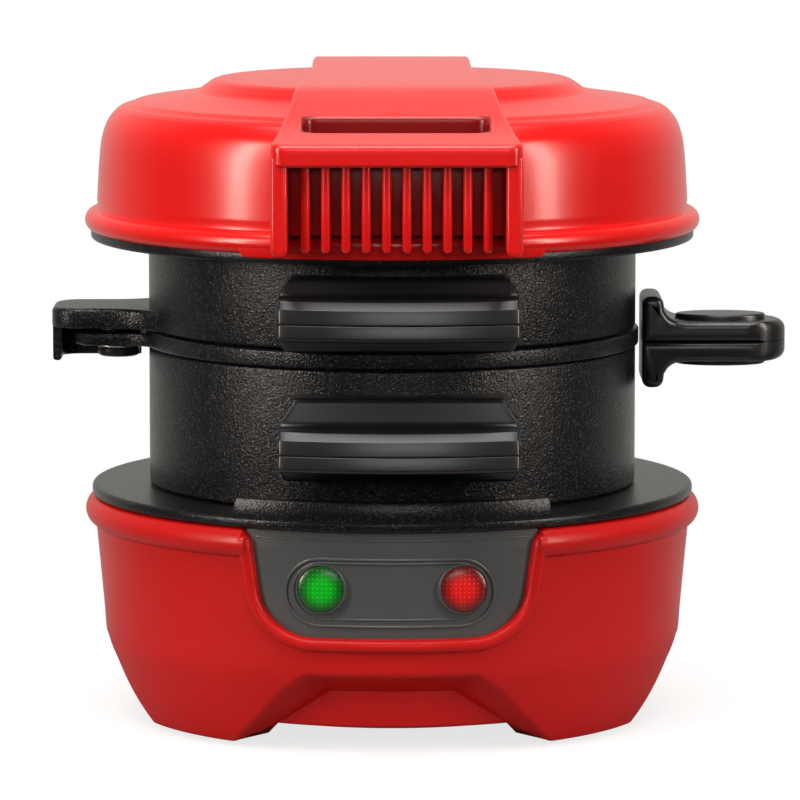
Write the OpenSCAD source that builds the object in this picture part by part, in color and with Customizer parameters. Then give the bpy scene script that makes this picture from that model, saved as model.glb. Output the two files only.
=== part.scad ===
/* [Ring stack] */
// Inside diameter of the two cooking rings
ring_bore_d = 102; // [90:0.5:108]
// Thickness of a cooking ring's wall
ring_wall = 2.7; // [2:0.1:3.5]
// Height of the lower ring
lower_ring_h = 30.2; // [26:0.5:36]
// Height of the upper ring
upper_ring_h = 19.2; // [17:0.2:24]
// Height of the swing-out plate's rim between the rings
swing_rim_h = 3.6; // [3.2:0.1:5]
// Thickness of the swing-out plate's floor and tongue
swing_floor_t = 2.7; // [2:0.1:3]
// Running gap between neighbours in the stack
stack_gap = 0.3; // [0.2:0.05:0.6]

/* [Hot plates] */
// Diameter of both hot plates
hot_plate_d = 132.8; // [128:0.2:136]
// Thickness of both hot plates
hot_plate_t = 2.4; // [2:0.1:3.5]
// Height of the raised lip at the lower plate's front
lip_h = 4.4; // [2:0.1:5]
// Mean radius of the heating elements
element_r = 38; // [34:0.5:40]
// Diameter of the heating elements' tube
element_d = 6.4; // [5:0.1:7]

/* [Base] */
// Height of the lower hot plate's cooking face above the table
base_h = 51.4; // [48:0.2:60]
// Outer radius of the base wall under its bead
base_top_r = 65.6; // [65.2:0.1:67]
// Outer radius of the base wall just above the legs
base_low_r = 63.4; // [62:0.1:65]
// Outer radius of the legs' undersides
leg_foot_r = 57.3; // [56:0.1:60]
// Wall thickness of the moulded shells
shell_wall = 2.2; // [1.6:0.1:2.6]
// Outer radius of the base's bead
base_bead_r = 67.9; // [67.4:0.1:69]
// Outer radius of the drum behind the leg openings
drum_r = 55; // [53:0.2:56]
// Height of the drum's underside
drum_z = 5.4; // [4.8:0.2:8]
// Height of the top edge of the openings between the legs
arch_z = 18; // [15:0.2:22]
// Half width of the front opening at its top
arch_top_half = 18.7; // [14:0.2:24]
// Half width of the front opening at the table
arch_foot_half = 34.1; // [30:0.2:36]
// Half width of the side openings at their top
side_top_half = 10; // [5:0.2:14]
// Half width of the side openings at the table
side_foot_half = 25; // [16:0.2:27]
// Height of the shell's undersides above the table
foot_stand = 0.9; // [0.6:0.1:1.6]
// Radius of a rubber foot
foot_r = 4; // [3:0.1:4.5]

/* [Front panel] */
// Half width of the grey panel at its top
panel_half = 29.6; // [27:0.2:33]
// Height of the grey panel's lower edge
panel_z = 26.4; // [24:0.2:30]
// Radius of a lamp lens
lens_r = 4.6; // [4:0.1:5.2]
// Distance of each lens from the middle
lens_x = 15.1; // [13:0.1:17]
// Height of the lens centres
lens_z = 36.8; // [34:0.1:40]

/* [Lid] */
// Outer radius of the lid's rim bead
lid_bead_r = 67.7; // [67:0.1:69]
// Outer radius of the lid's wall above the bead
lid_wall_r = 65.2; // [64.5:0.1:66]
// Height of the lid's dome from the underside of its bead to the crease
dome_h = 28; // [24:0.5:32]
// Radius of the crease at the dome's shoulder
crease_r = 57.5; // [55:0.5:60]
// Radius of the raised middle tier
tier_r = 42; // [38:0.2:46]
// Height of the raised middle tier above the crease
tier_rise = 5.1; // [4:0.1:7]
// Half width of the handle at its front edge
handle_half = 26.7; // [25:0.1:28]
// Half width of the handle's spine at the back
spine_half = 18; // [15:0.1:20]
// Reach of the handle's front edge from the ring axis
handle_reach = 76; // [74:0.2:78]
// Number of fins under the handle
fin_count = 10; // [6:1:12]
// Distance between fins
fin_pitch = 4.23; // [3.6:0.01:4.4]

/* [Ring handles] */
// Half width of the two front ring handles
grip_half = 25.4; // [22:0.1:27]
// Reach of the front grips from the ring axis
grip_reach = 75; // [72:0.2:76]
// Height of a front grip
grip_h = 6.5; // [6:0.1:8]
// Sideways offset of both front handles
grip_x = 1.4; // [0:0.1:1.5]

/* [Swing plate] */
// Distance of the swing pivot from the ring axis
pivot_x = 60.5; // [60.4:0.1:62]
// Radius of the pivot screw
pivot_r = 2.5; // [2:0.1:2.8]
// Reach of the left ear from the ring axis
ear_reach = 75; // [74:0.2:78]
// Thickness of the left ear
ear_t = 5.2; // [4.5:0.1:6]
// Half width of the left ear
ear_half = 9; // [8:0.1:10]
// Reach of the right grip from the ring axis
side_reach = 86.8; // [84:0.2:95]
// Half width of the right grip
side_half = 9; // [8:0.1:10]
// Height of the right grip
side_h = 8.8; // [8:0.1:10]
// Height of the right grip's end flange
flange_h = 21.3; // [19:0.2:24]

/* [Hinge] */
// Distance of the hinge axis behind the ring axis
hinge_y = 74; // [73:0.2:78]
// Height of the hinge axis
hinge_z = 93.5; // [92.5:0.1:98]
// Outer radius of the hinge knuckles
knuckle_r = 6; // [5.5:0.1:6.5]
// Outer radius of the tubular hinge pins
pin_r = 3; // [2.6:0.05:3.2]
// Inside radius of the tubular hinge pins
pin_bore_r = 1.7; // [1.5:0.05:1.8]
// Radial clearance of a pin in its knuckles
pin_fit = 0.05; // [0.02:0.01:0.1]
// Width of each knuckle
knuckle_w = 4; // [3.5:0.1:5]
// Side gap between knuckles
knuckle_gap = 0.3; // [0.2:0.05:0.5]

/* [Fasteners and wiring] */
// Radius of a small screw's shank
screw_r = 1.5; // [1.2:0.05:1.6]
// Radius of a small screw's head
head_r = 2.8; // [2.4:0.1:3]
// Height of a small screw's head
head_h = 1.6; // [1.2:0.1:2]
// Radial clearance of a screw in a through hole
screw_fit = 0.15; // [0.1:0.05:0.3]
// Radius of an insulated lead
lead_r = 1; // [0.8:0.05:1.2]
// Radius of the hole for the supply cord
cord_bore_r = 3.2; // [2.8:0.1:3.4]

/* [Hidden] */
$fn = 96;
eps = 0.01;
seat = 0.1;
ring_r = ring_bore_d / 2 + ring_wall;
plate_r = hot_plate_d / 2;
base_rim_z = base_h - hot_plate_t;
lower_z = base_h + stack_gap;
swing_z = lower_z + lower_ring_h + stack_gap;
upper_z = swing_z + swing_rim_h + stack_gap;
top_plate_z = upper_z + upper_ring_h + stack_gap;
lid_z = top_plate_z + 1.8;
lid_bead_t = 2.35;
crease_z = lid_z + dome_h;
tier_z = crease_z + tier_rise;
bead_t = 3.3;
bead_z = base_rim_z - bead_t;
lid_bead_z = lid_z + lid_bead_t;
lid_bead_top = lid_bead_z + lid_bead_t;
swing_r = ring_r + 0.7;
inner_r = base_low_r - shell_wall;
cavity_top_r = base_top_r - shell_wall;
deck_z = arch_z + 2;
tower_top_z = hinge_z - 16;
knuckle_step = knuckle_w + knuckle_gap;
barrel_half = 7;
ear_in_x = barrel_half + knuckle_gap;
upper_arm_x = ear_in_x + knuckle_step + 0.7;
lower_arm_x = upper_arm_x + knuckle_step;
ear_out_x = lower_arm_x + knuckle_step;
pin_end_x = ear_out_x + knuckle_w;
tower_half = pin_end_x + 6;
tower_back = hinge_y + knuckle_r;
hinge_reach = hinge_y + knuckle_r;
stack_x = (ear_reach - side_reach) / 2;
stack_y = (max(handle_reach, grip_reach) - hinge_reach) / 2;
spine_z = crease_z + tier_rise + 2.4;
lip_z = crease_z - 4.2;
lip_drop = 4.1;
lower_seam_z = lower_z + lower_ring_h * 0.48;
upper_seam_z = upper_z + upper_ring_h * 0.4;
ear_z = upper_z - 0.9;
tongue_z = swing_z - 0.2;
tongue_t = ear_z - stack_gap - tongue_z;
side_seam_z = swing_z + 0.8;
flange_x = swing_r + 0.6;
ear_back = 12.2;
skirt_t = 1.8;
fin_foot_z = lid_z + 0.9;
cover_r = 44;
foot_at = [leg_foot_r * 0.64, leg_foot_r * 0.58];
foot_t = foot_stand + 1.3;
clamp_t = 1;
clamp_z = base_rim_z - element_d - 0.2 - clamp_t;
shield_t = 0.8;
shield_z = clamp_z - 6;
shield_r = 50;
screw_turns = [0, 120, 240];
corner_turns = [45, 135, 225, 315];
panel_gap = 0.15;
socket_back = 6.5;
post_x = 24.2;
post_r = 2.6;
lamp_bar_y = -(base_low_r - shell_wall - socket_back + 0.6);
lens_front = sqrt(pow(wall_r(lens_z), 2) - lens_x * lens_x) + 0.8;
plate_screw_r = plate_r - 9.4;
tub_z = top_plate_z + base_h - shield_z + 1.4;
slot_y = -59.6;
slot_r = 4.9;
slot_half = 19.7;
post_mid = handle_half - 4.4;
red = [0.83, 0.10, 0.08];
black = [0.10, 0.10, 0.10];
coat = [0.16, 0.16, 0.16];
steel = [0.75, 0.75, 0.77];

// Everything is drawn about the ring axis and moved so that the origin is the footprint's centre
module on_table() { translate([stack_x, stack_y, 0]) children(); }

// A bar along X with a given radius, from x0 to x1
module x_rod(r, x0, x1) { translate([x0, 0, 0]) rotate([0, 90, 0]) cylinder(r = r, h = x1 - x0); }

// A bar along Y with a given radius, from y0 to y1
module y_rod(r, y0, y1) { translate([0, y0, 0]) rotate([-90, 0, 0]) cylinder(r = r, h = y1 - y0); }

// A plate drawn by a profile in the YZ plane, from x0 to x1
module yz_plate(points, x0, x1) {
    translate([x0, 0, 0]) rotate([90, 0, 90]) linear_extrude(x1 - x0) polygon(points);
}

// A plate drawn by a profile in the XZ plane, from y0 to y1
module xz_plate(points, y0, y1) {
    translate([0, y1, 0]) rotate([90, 0, 0]) linear_extrude(y1 - y0) polygon(points);
}

// Points of a circular arc in a plane, from angle a0 to a1
function arc(c, r, a0, a1, n = 8) =
    [for (i = [0 : n]) let (a = a0 + (a1 - a0) * i / n) c + r * [cos(a), sin(a)]];

// Both sides of the middle plane
module both_sides() {
    children();
    mirror([1, 0, 0]) children();
}

// A screw standing on its head at z = 0 with the shank upwards
module screw_up(length, r = screw_r) {
    translate([0, 0, -head_h]) cylinder(r = head_r, h = head_h);
    translate([0, 0, -eps]) cylinder(r = r, h = length + eps);
}

// Repeats a piece about the ring axis at a radius and a list of angles
module around(radius, turns) {
    for (a = turns) rotate([0, 0, a]) translate([radius, 0, 0]) children();
}

// A bent lead: a tube of eight sides swept along its route's points
function unit(v) = v / norm(v);
function heading(p, i) = unit(
    (i < len(p) - 1 ? unit(p[i + 1] - p[i]) : [0, 0, 0]) + (i > 0 ? unit(p[i] - p[i - 1]) : [0, 0, 0]));
function across(d, up) = unit(cross(d, abs(d * up) > 0.99 ? [0, 1, 0] : up));
function bend(p, i) = i == 0 || i == len(p) - 1 ? 1 :
    max(0.6, sqrt((1 + unit(p[i + 1] - p[i]) * unit(p[i] - p[i - 1])) / 2));
module lead(p, r = lead_r, up = [0.31, 0.55, 0.77], sides = 8) {
    rings = [for (i = [0 : len(p) - 1])
        let (d = heading(p, i), u = across(d, up), v = cross(d, u), s = 1 / bend(p, i))
        for (k = [0 : sides - 1]) p[i] + r * (cos(360 * k / sides) * u + sin(360 * k / sides) * v)];
    n = len(p);
    walls = [for (i = [0 : n - 2], k = [0 : sides - 1]) let (j = (k + 1) % sides)
        for (t = [0, 1]) t == 0 ? [i * sides + k, (i + 1) * sides + k, (i + 1) * sides + j]
                               : [i * sides + k, (i + 1) * sides + j, i * sides + j]];
    ends = [[for (k = [0 : sides - 1]) k], [for (k = [sides - 1 : -1 : 0]) (n - 1) * sides + k]];
    polyhedron(points = rings, faces = concat(walls, ends));
}

// Outer profile of the base: a bead at the top, a wall that narrows, and legs that draw in
function wall_r(z) = base_low_r + (base_top_r - base_low_r) * (z - arch_z) / (bead_z - bead_t - arch_z);
module base_profile() {
    polygon(concat(
        [[0, foot_stand], [leg_foot_r, foot_stand], [leg_foot_r + 3, foot_stand + 7],
         [leg_foot_r + 4.7, arch_z - 4], [base_low_r, arch_z], [base_top_r, bead_z - bead_t + 0.4]],
        arc([base_bead_r - bead_t, bead_z], bead_t, -60, 90),
        [[0, bead_z + bead_t]]));
}

// One opening between two legs, cut from outside: its roof and sides close in towards the drum
module leg_opening(top_half, foot_half) {
    wall = [top_half, -sqrt(base_low_r * base_low_r - top_half * top_half), arch_z];
    inner = wall + [-1.6, 8, -4.4];
    foot = [foot_half - 1, -sqrt(leg_foot_r * leg_foot_r - foot_half * foot_half), foot_stand];
    n = cross(foot - wall, inner - wall);
    ys = [-base_bead_r - 4, -drum_r + 11];
    hull() for (y = ys, s = [-1, 1]) {
        roof = arch_z - 0.54 * (y - wall[1]);
        for (z = [roof, -2]) translate([s * side_x(n, wall, y, z), y, z]) cube(0.02, center = true);
    }
}

// X of a sloping plane through a point, at a given Y and Z
function side_x(n, p, y, z) = p[0] - (n[1] * (y - p[1]) + n[2] * (z - p[2])) / n[0];

module leg_openings() {
    for (a = [0, 180]) rotate([0, 0, a]) leg_opening(arch_top_half, arch_foot_half);
    for (a = [90, 270]) rotate([0, 0, a]) leg_opening(side_top_half, side_foot_half);
}

// The U-shaped outline of the front panel, grown by an amount, drawn in X and Z
module panel_outline(grow) {
    half = panel_half + grow;
    low = panel_z - grow;
    r = 9;
    polygon(concat(
        [[-half - 0.7, base_h + 4], [-half, base_rim_z]],
        arc([-half + r + 3.4, low + r], r, 188, 270),
        arc([half - r - 3.4, low + r], r, 270, 352),
        [[half, base_rim_z], [half + 0.7, base_h + 4]]));
}

// Cuts the front of a body of revolution with the panel's outline
module through_panel(grow) {
    intersection() {
        children();
        translate([0, -30, 0]) rotate([90, 0, 0]) linear_extrude(60) panel_outline(grow);
    }
}

// A curved skin that follows the base wall between two offsets from its outer face
module wall_skin(out, inn, z0, z1) {
    rotate_extrude() polygon([[wall_r(z0) - inn, z0], [wall_r(z0) - out, z0],
        [wall_r(z1) - out, z1], [wall_r(z1) - inn, z1]]);
}

module tower_profile_cut(clear) {
    rotate_extrude() polygon([[0, 0], [wall_r(0) + clear, 0], [wall_r(bead_z - 6) + clear, bead_z - 6],
        [base_bead_r + clear, bead_z - 3.4], [base_bead_r + clear, base_h + 6], [0, base_h + 6]]);
}

module base_shell() {
    color(red) on_table() difference() {
        union() {
            difference() {
                rotate_extrude() base_profile();
                leg_openings();
                translate([0, 0, -1]) cylinder(r = cover_r + 0.6, h = drum_z + 1);
                for (a = [0, 90, 180, 270]) rotate([0, 0, a])
                    translate([0, -drum_r, drum_z / 2 - 1]) cube([a % 180 == 0 ? 50 : 22, 40, drum_z + 2], true);
            }
            translate([0, 0, drum_z]) cylinder(r = drum_r, h = deck_z - drum_z);
            through_panel(2.1) wall_skin(-1.3, 0.5, panel_z - 3, base_rim_z);
        }
        translate([0, 0, drum_z + 2]) cylinder(r = drum_r - shell_wall, h = base_h);
        translate([0, 0, -1]) cylinder(r = cover_r - 6, h = base_h);
        rotate_extrude() polygon([[0, deck_z], [wall_r(deck_z) - shell_wall, deck_z],
            [cavity_top_r, bead_z - bead_t], [cavity_top_r, base_h + 1], [0, base_h + 1]]);
        through_panel(panel_gap) wall_skin(-6, 12, panel_z - 3, base_h + 4);
        for (x = [-1, 1], y = [-1, 1]) translate([x * foot_at[0], y * foot_at[1], foot_stand - 1])
            cylinder(r = foot_r + 0.05, h = 1 + foot_t - foot_stand);
        around(cover_r - 3, corner_turns) translate([0, 0, drum_z - 1]) cylinder(r = screw_r, h = 12);
        for (x = [-1, 1], z = [30, 41]) translate([x * 16, 0, z]) y_rod(screw_r + screw_fit, 40, 80);
        translate([pin_end_x + 2, 0, 35]) y_rod(lead_r + 1, 40, 80);
        cord_place() cylinder(r = cord_bore_r + 2.4, h = 20, center = true);
    }
    color(red) on_table() difference() {
        union() {
            around(cover_r - 3, corner_turns) translate([0, 0, drum_z + 2 - eps]) cylinder(r = 3.6, h = 8);
            around(plate_screw_r, corner_turns) translate([0, 0, base_rim_z - 8]) lug();
        }
        around(cover_r - 3, corner_turns) translate([0, 0, drum_z - 1]) cylinder(r = screw_r, h = 12);
    }
}

// A lug inside the base wall that a plate boss stands on
module lug() {
    difference() {
        translate([-4, -4, -3]) cube([10.4, 8, 3]);
        translate([0, 0, -4]) cylinder(r = screw_r + screw_fit, h = 5);
    }
}

// Where the supply cord enters: a hole through the rear wall, to the right of the hinge tower
module cord_place() { rotate([0, 0, -42]) translate([0, base_low_r, 29]) rotate([-90, 0, 0]) children(); }

module cord_bushing() {
    color(black) on_table() cord_place() difference() {
        union() {
            translate([0, 0, -5]) cylinder(r = cord_bore_r + 2.3, h = 13);
            translate([0, 0, 2]) cylinder(r = cord_bore_r + 3.8, h = 2);
        }
        translate([0, 0, -6]) cylinder(r = cord_bore_r, h = 20);
    }
}

module front_panel() {
    color([0.42, 0.43, 0.44]) on_table() difference() {
        union() {
            through_panel(0) wall_skin(0.7, shell_wall + 0.6, panel_z - 3, base_rim_z - 0.2);
            through_panel(1.8) wall_skin(shell_wall + 0.59, shell_wall + 1.8, panel_z - 3, bead_z);
            for (s = [-1, 1]) translate([s * lens_x, 0, lens_z])
                y_rod(lens_r + 1.4, -lens_front + 3.4, lamp_bar_y + 2);
            for (s = [-1, 1]) translate([s * post_x, 0, lens_z])
                y_rod(post_r, -wall_r(lens_z) + 8, lamp_bar_y + 2);
        }
        for (s = [-1, 1]) translate([s * lens_x, 0, lens_z]) y_rod(lens_r + 0.05, -80, 0);
        for (s = [-1, 1]) translate([s * post_x, 0, lens_z]) y_rod(screw_r, lamp_bar_y - 2, 0);
    }
}

// A domed lamp lens that sits in the panel's socket
module lens(side) {
    translate([side * lens_x, 0, lens_z]) intersection() {
        y_rod(lens_r, -lens_front - 1, -lens_front + 4.2);
        translate([0, -lens_front + 14.2, 0]) sphere(r = 14.2);
    }
}

module preheat_lens() { color([0.05, 0.65, 0.15, 0.8]) on_table() lens(-1); }
module power_lens() { color([0.9, 0.1, 0.1, 0.8]) on_table() lens(1); }

// A neon lamp: a glass tube with a rounded tip, held by the bar behind the panel
module lamp(side) {
    translate([side * lens_x, 0, lens_z]) {
        y_rod(2.6, lamp_bar_y - 0.4, lamp_bar_y + 6);
        translate([0, lamp_bar_y - 0.4, 0]) sphere(r = 2.6);
    }
}

module preheat_lamp() { color([0.9, 0.9, 0.8]) on_table() lamp(-1); }
module power_lamp() { color([0.9, 0.9, 0.8]) on_table() lamp(1); }

module lamp_holder() {
    color(black) on_table() difference() {
        translate([-post_x - 4, lamp_bar_y + 2.1, lens_z - 5]) cube([2 * post_x + 8, 2.3, 10]);
        for (s = [-1, 1]) translate([s * lens_x, 0, lens_z]) y_rod(2.65, -80, 0);
        for (s = [-1, 1]) translate([s * post_x, 0, lens_z]) y_rod(screw_r + screw_fit, -80, 0);
    }
}

module lamp_screws() {
    color(steel) on_table() for (s = [-1, 1]) translate([s * post_x, lamp_bar_y + 4.4, lens_z])
        rotate([90, 0, 0]) screw_up(4.6, screw_r - 0.05);
}

// A hot plate with its cooking face at z = 0, its bosses and its edge, seen from the cooking side
module hot_plate(boss_z, through = false) {
    difference() {
        union() {
            rotate_extrude() polygon(concat([[0, -hot_plate_t], [plate_r - 0.8, -hot_plate_t]],
                arc([plate_r - 0.8, -hot_plate_t + 0.8], 0.8, -90, 0, 4),
                arc([plate_r - 0.8, -0.8], 0.8, 0, 90, 4), [[0, 0]]));
            around(element_r - 9, screw_turns) translate([0, 0, boss_z]) cylinder(r = 3.4, h = -boss_z - 1);
            around(shield_r - 5, [60, 180, 300]) translate([0, 0, -base_h + shield_z + shield_t])
                cylinder(r = 3.2, h = base_h - shield_z - shield_t - 1);
            around(plate_screw_r, corner_turns) translate([0, 0, -8 - hot_plate_t])
                cylinder(r = 3.4, h = 8 + hot_plate_t - 1);
        }
        around(element_r - 9, screw_turns) translate([0, 0, boss_z - 1]) cylinder(r = screw_r, h = 7);
        around(shield_r - 5, [60, 180, 300]) translate([0, 0, -base_h + shield_z]) cylinder(r = screw_r, h = 8);
        around(plate_screw_r, corner_turns) translate([0, 0, -10 - hot_plate_t])
            cylinder(r = through ? screw_r + screw_fit : screw_r, h = through ? 20 : 9);
        if (through) around(plate_screw_r, corner_turns)
            translate([0, 0, -head_h]) cylinder(r = head_r + 0.2, h = 3);
    }
}

module lower_plate() {
    color(coat) on_table() translate([0, 0, base_h]) {
        hot_plate(clamp_z + clamp_t - base_h);
        intersection() {
            rotate_extrude() polygon([[plate_r - 2.6, -0.5], [plate_r, -1], [plate_r - 0.2, lip_h],
                [plate_r - 2.2, lip_h]]);
            translate([-34.5, -plate_r - 1, -2]) cube([69, 30, lip_h + 4]);
        }
    }
}

// A tubular heater: most of a ring with two cold ends turned away from the plate
module element() {
    start = 108;
    rotate([0, 0, start]) rotate_extrude(angle = 324) translate([element_r, 0]) circle(d = element_d, $fn = 32);
    for (a = [start, start + 324]) rotate([0, 0, a]) translate([element_r, 0, 0]) {
        sphere(d = element_d, $fn = 32);
        translate([0, 0, -9]) cylinder(d = element_d, h = 9, $fn = 32);
        translate([0, 0, -12]) cylinder(r = 0.9, h = 4);
    }
}

module lower_element() {
    color([0.45, 0.45, 0.47]) on_table() translate([0, 0, base_rim_z - element_d / 2 - seat]) element();
}

// A flat steel ring that presses the element onto its plate
module element_clamp() {
    difference() {
        cylinder(r = element_r + 3, h = clamp_t);
        translate([0, 0, -1]) cylinder(r = element_r - 14, h = clamp_t + 2);
        around(element_r - 9, screw_turns) translate([0, 0, -1])
            cylinder(r = screw_r + screw_fit, h = clamp_t + 2);
        for (a = [108, 72]) rotate([0, 0, a]) translate([element_r, 0, -1])
            cylinder(d = element_d + 0.8, h = clamp_t + 2);
    }
}

module lower_element_clamp() { color(steel) on_table() translate([0, 0, clamp_z]) element_clamp(); }

// A shallow steel dish that keeps the plate's heat off the plastic shell
module heat_shield() {
    difference() {
        rotate_extrude() polygon([[0, 0], [shield_r, 0], [shield_r, 9], [shield_r - shield_t, 9],
            [shield_r - shield_t, shield_t], [0, shield_t]]);
        around(shield_r - 5, [60, 180, 300]) translate([0, 0, -1]) cylinder(r = screw_r + screw_fit, h = 3);
        for (a = [108, 72]) rotate([0, 0, a]) translate([element_r, 0, -1]) cylinder(d = element_d + 1, h = 3);
        translate([0, 0, -1]) cylinder(r = 12, h = 3);
    }
}

module lower_heat_shield() { color(steel) on_table() translate([0, 0, shield_z]) heat_shield(); }

// The screws of a clamp and of its heat shield, all of one size
module inner_screws() {
    around(element_r - 9, screw_turns) translate([0, 0, clamp_z]) screw_up(6, screw_r - 0.05);
    around(shield_r - 5, [60, 180, 300]) translate([0, 0, shield_z]) screw_up(7, screw_r - 0.05);
}

module lower_inner_screws() { color(steel) on_table() inner_screws(); }

module plate_screws() {
    color(steel) on_table() around(plate_screw_r, corner_turns)
        translate([0, 0, base_rim_z - 11]) screw_up(10, screw_r - 0.05);
}

module thermostat() {
    color([0.6, 0.55, 0.45]) on_table() {
        translate([0, 0, base_rim_z - 10]) cylinder(r = 8, h = 10 - seat);
        for (s = [-1, 1]) translate([s * 4 - 0.4, -3, base_rim_z - 16]) cube([0.8, 6, 7]);
    }
}

module thermal_fuse() {
    color([0.85, 0.82, 0.7]) on_table() translate([0, 0, base_rim_z - 2.1]) {
        translate([0, 16, 0]) x_rod(2, -6, 6);
        translate([0, 16, 0]) x_rod(0.7, -9, 9);
    }
}

module terminal_block() {
    color([0.92, 0.92, 0.88]) on_table() difference() {
        translate([-12, 10, drum_z]) cube([24, 12, 11]);
        for (x = [-7, 0, 7]) translate([x, 16, drum_z + 4]) cylinder(r = 1.8, h = 12);
    }
}

// Leads inside the base: supply to block, block to thermostat, element and lamps, and up the tower
module base_wiring() {
    t1 = [element_r * cos(72), element_r * sin(72)];
    t2 = [element_r * cos(108), element_r * sin(108)];
    block = drum_z + 11;
    low = shield_z - 2;
    wire_x = pin_end_x + 2;
    cord = [base_low_r * cos(48), base_low_r * sin(48)] * 0.9;
    color([0.85, 0.85, 0.8]) on_table() {
        lead([[cord[0], cord[1], 29], [30, 33, 27], [18, 21, 23], [12.8, 15, 20.5], [7, 16, block + 0.5]]);
        lead([[0, 14, block + 0.5], [-3, 8, 24], [-4, 2, 29], [-4, 0, base_rim_z - 16.5]]);
        lead([[4, 0, base_rim_z - 16.5], [6, 5, 27], [10, 26, 25], [t1[0], t1[1], 28], [t1[0], t1[1], low]]);
        lead([[-7, 16, block + 0.5], [-9, 22, 21], [-12, 31, 25], [t2[0], t2[1], 28], [t2[0], t2[1], low]]);
        both_sides() lead([[12.9, 13, drum_z + 6], [20, -4, 14], [21, -30, 24], [lens_x, -44, 27],
            [lens_x, lamp_bar_y + 5.8, 30], [lens_x, lamp_bar_y + 5.8, lens_z - 2.9]]);
        lead([[7, 18.4, block + 0.5], [14, 26, 24], [wire_x, 44, 33], [wire_x, 50, 35],
            [wire_x, hinge_y - 3, 35], [wire_x, hinge_y, 38], [wire_x, hinge_y, hinge_z - 3],
            [wire_x - 0.6, hinge_y, hinge_z - 0.8], [wire_x - 3, hinge_y, hinge_z], [4.8, hinge_y, hinge_z]]);
    }
}

module bottom_cover() {
    color(black) on_table() difference() {
        translate([0, 0, drum_z - 2]) cylinder(r = cover_r, h = 2);
        around(cover_r - 3, corner_turns) translate([0, 0, drum_z - 3]) cylinder(r = screw_r + screw_fit, h = 4);
        for (i = [-3 : 3]) translate([i * 6 - 1, -8, drum_z - 3]) cube([2, 12, 4]);
    }
}

module bottom_screws() {
    color(steel) on_table() around(cover_r - 3, corner_turns)
        translate([0, 0, drum_z - 2]) screw_up(10, screw_r - 0.05);
}

module rubber_feet() {
    color([0.05, 0.05, 0.05]) on_table() for (x = [-1, 1], y = [-1, 1])
        translate([x * foot_at[0], y * foot_at[1], 0]) cylinder(r = foot_r, h = foot_t);
}

// The column behind the base that carries the hinge
module hinge_tower() {
    ear_low = tower_top_z - 5;
    color(red) on_table() difference() {
        union() {
            yz_plate([[56, 24], [tower_back - 6, 24], [tower_back, 30], [tower_back, tower_top_z],
                [hinge_y - knuckle_r, tower_top_z], [56, tower_top_z - 12]], -tower_half, tower_half);
            both_sides() {
                hinge_ear(ear_in_x, ear_in_x + knuckle_w + 0.7, ear_low);
                hinge_ear(ear_out_x, tower_half, ear_low);
            }
        }
        tower_profile_cut(0.1);
        translate([0, hinge_y, hinge_z]) {
            both_sides() x_rod(pin_r + pin_fit, 0, pin_end_x + 1.2);
            x_rod(pin_r + pin_fit, pin_end_x, pin_end_x + 4);
        }
        translate([-barrel_half - 0.6, hinge_y - 12, tower_top_z - 13]) cube([2 * barrel_half + 1.2, 24, 17]);
        translate([pin_end_x + 2, hinge_y, 33]) cylinder(r = lead_r + 1, h = hinge_z - 33);
        translate([pin_end_x + 2, 0, 35]) y_rod(lead_r + 0.8, 40, hinge_y);
        for (x = [-1, 1], z = [30, 41]) translate([x * 16, 0, z]) y_rod(screw_r, 40, hinge_y);
    }
}

// One ear of a fork, rounded about the hinge axis
module hinge_ear(x0, x1, low) {
    yz_plate(concat([[hinge_y - knuckle_r, low], [tower_back, low]],
        arc([hinge_y, hinge_z], knuckle_r, 0, 180, 24)), x0, x1);
}

module tower_screws() {
    color(steel) on_table() for (x = [-1, 1], z = [30, 41])
        translate([x * 16, sqrt(inner_r * inner_r - 256), z]) rotate([-90, 0, 0]) screw_up(11, screw_r - 0.05);
}

// Two tubular pins, left and right, that leave the middle of the hinge free for the lid's lead
module hinge_pins() {
    color(steel) on_table() translate([0, hinge_y, hinge_z]) both_sides() difference() {
        x_rod(pin_r, 5, pin_end_x);
        x_rod(pin_bore_r, 0, pin_end_x + 1);
    }
}

// A plain cooking ring with rolled edges, its foot at z = 0
module cooking_ring(h) {
    r_in = ring_bore_d / 2;
    rotate_extrude() polygon(concat([[r_in + 0.6, 0]], arc([ring_r - 0.6, 0.6], 0.6, -90, 0, 4),
        arc([ring_r - 0.6, h - 0.6], 0.6, 0, 90, 4), [[r_in + 0.6, h], [r_in, h - 0.6], [r_in, 0.6]]));
}

// An arm from a ring's wall to its knuckle, with the pin's bore, on both sides
module ring_arms(x0, profile) {
    both_sides() difference() {
        union() {
            yz_plate(profile, x0, x0 + knuckle_w);
            translate([0, hinge_y, hinge_z]) x_rod(knuckle_r, x0, x0 + knuckle_w);
        }
        translate([0, hinge_y, hinge_z]) x_rod(pin_r + pin_fit, x0 - 1, x0 + knuckle_w + 1);
    }
}

// The tapped boss on a ring's front that the handle is screwed to
module handle_tang(z) {
    translate([grip_x - 15, -ring_r - 9, z - 1.2]) cube([30, 10, 2.4]);
}

module tang_holes(z) {
    for (s = [-1, 1]) translate([grip_x + s * 10, -ring_r - 5, z - 3]) cylinder(r = screw_r, h = 6);
}

module lower_ring() {
    reach_y = ring_r - 3.6;
    color(coat) on_table() {
        translate([0, 0, lower_z]) cooking_ring(lower_ring_h);
        ring_arms(lower_arm_x, [[reach_y - 1, lower_z + 17], [hinge_y - 8, swing_z - 0.6],
            [hinge_y + 2.4, hinge_z - 5.5], [hinge_y - 4.5, hinge_z + 4], [hinge_y - 18, swing_z + 0.4],
            [reach_y - 1, swing_z - 1.4]]);
        difference() {
            handle_tang(lower_seam_z);
            tang_holes(lower_seam_z);
        }
    }
}

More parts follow.
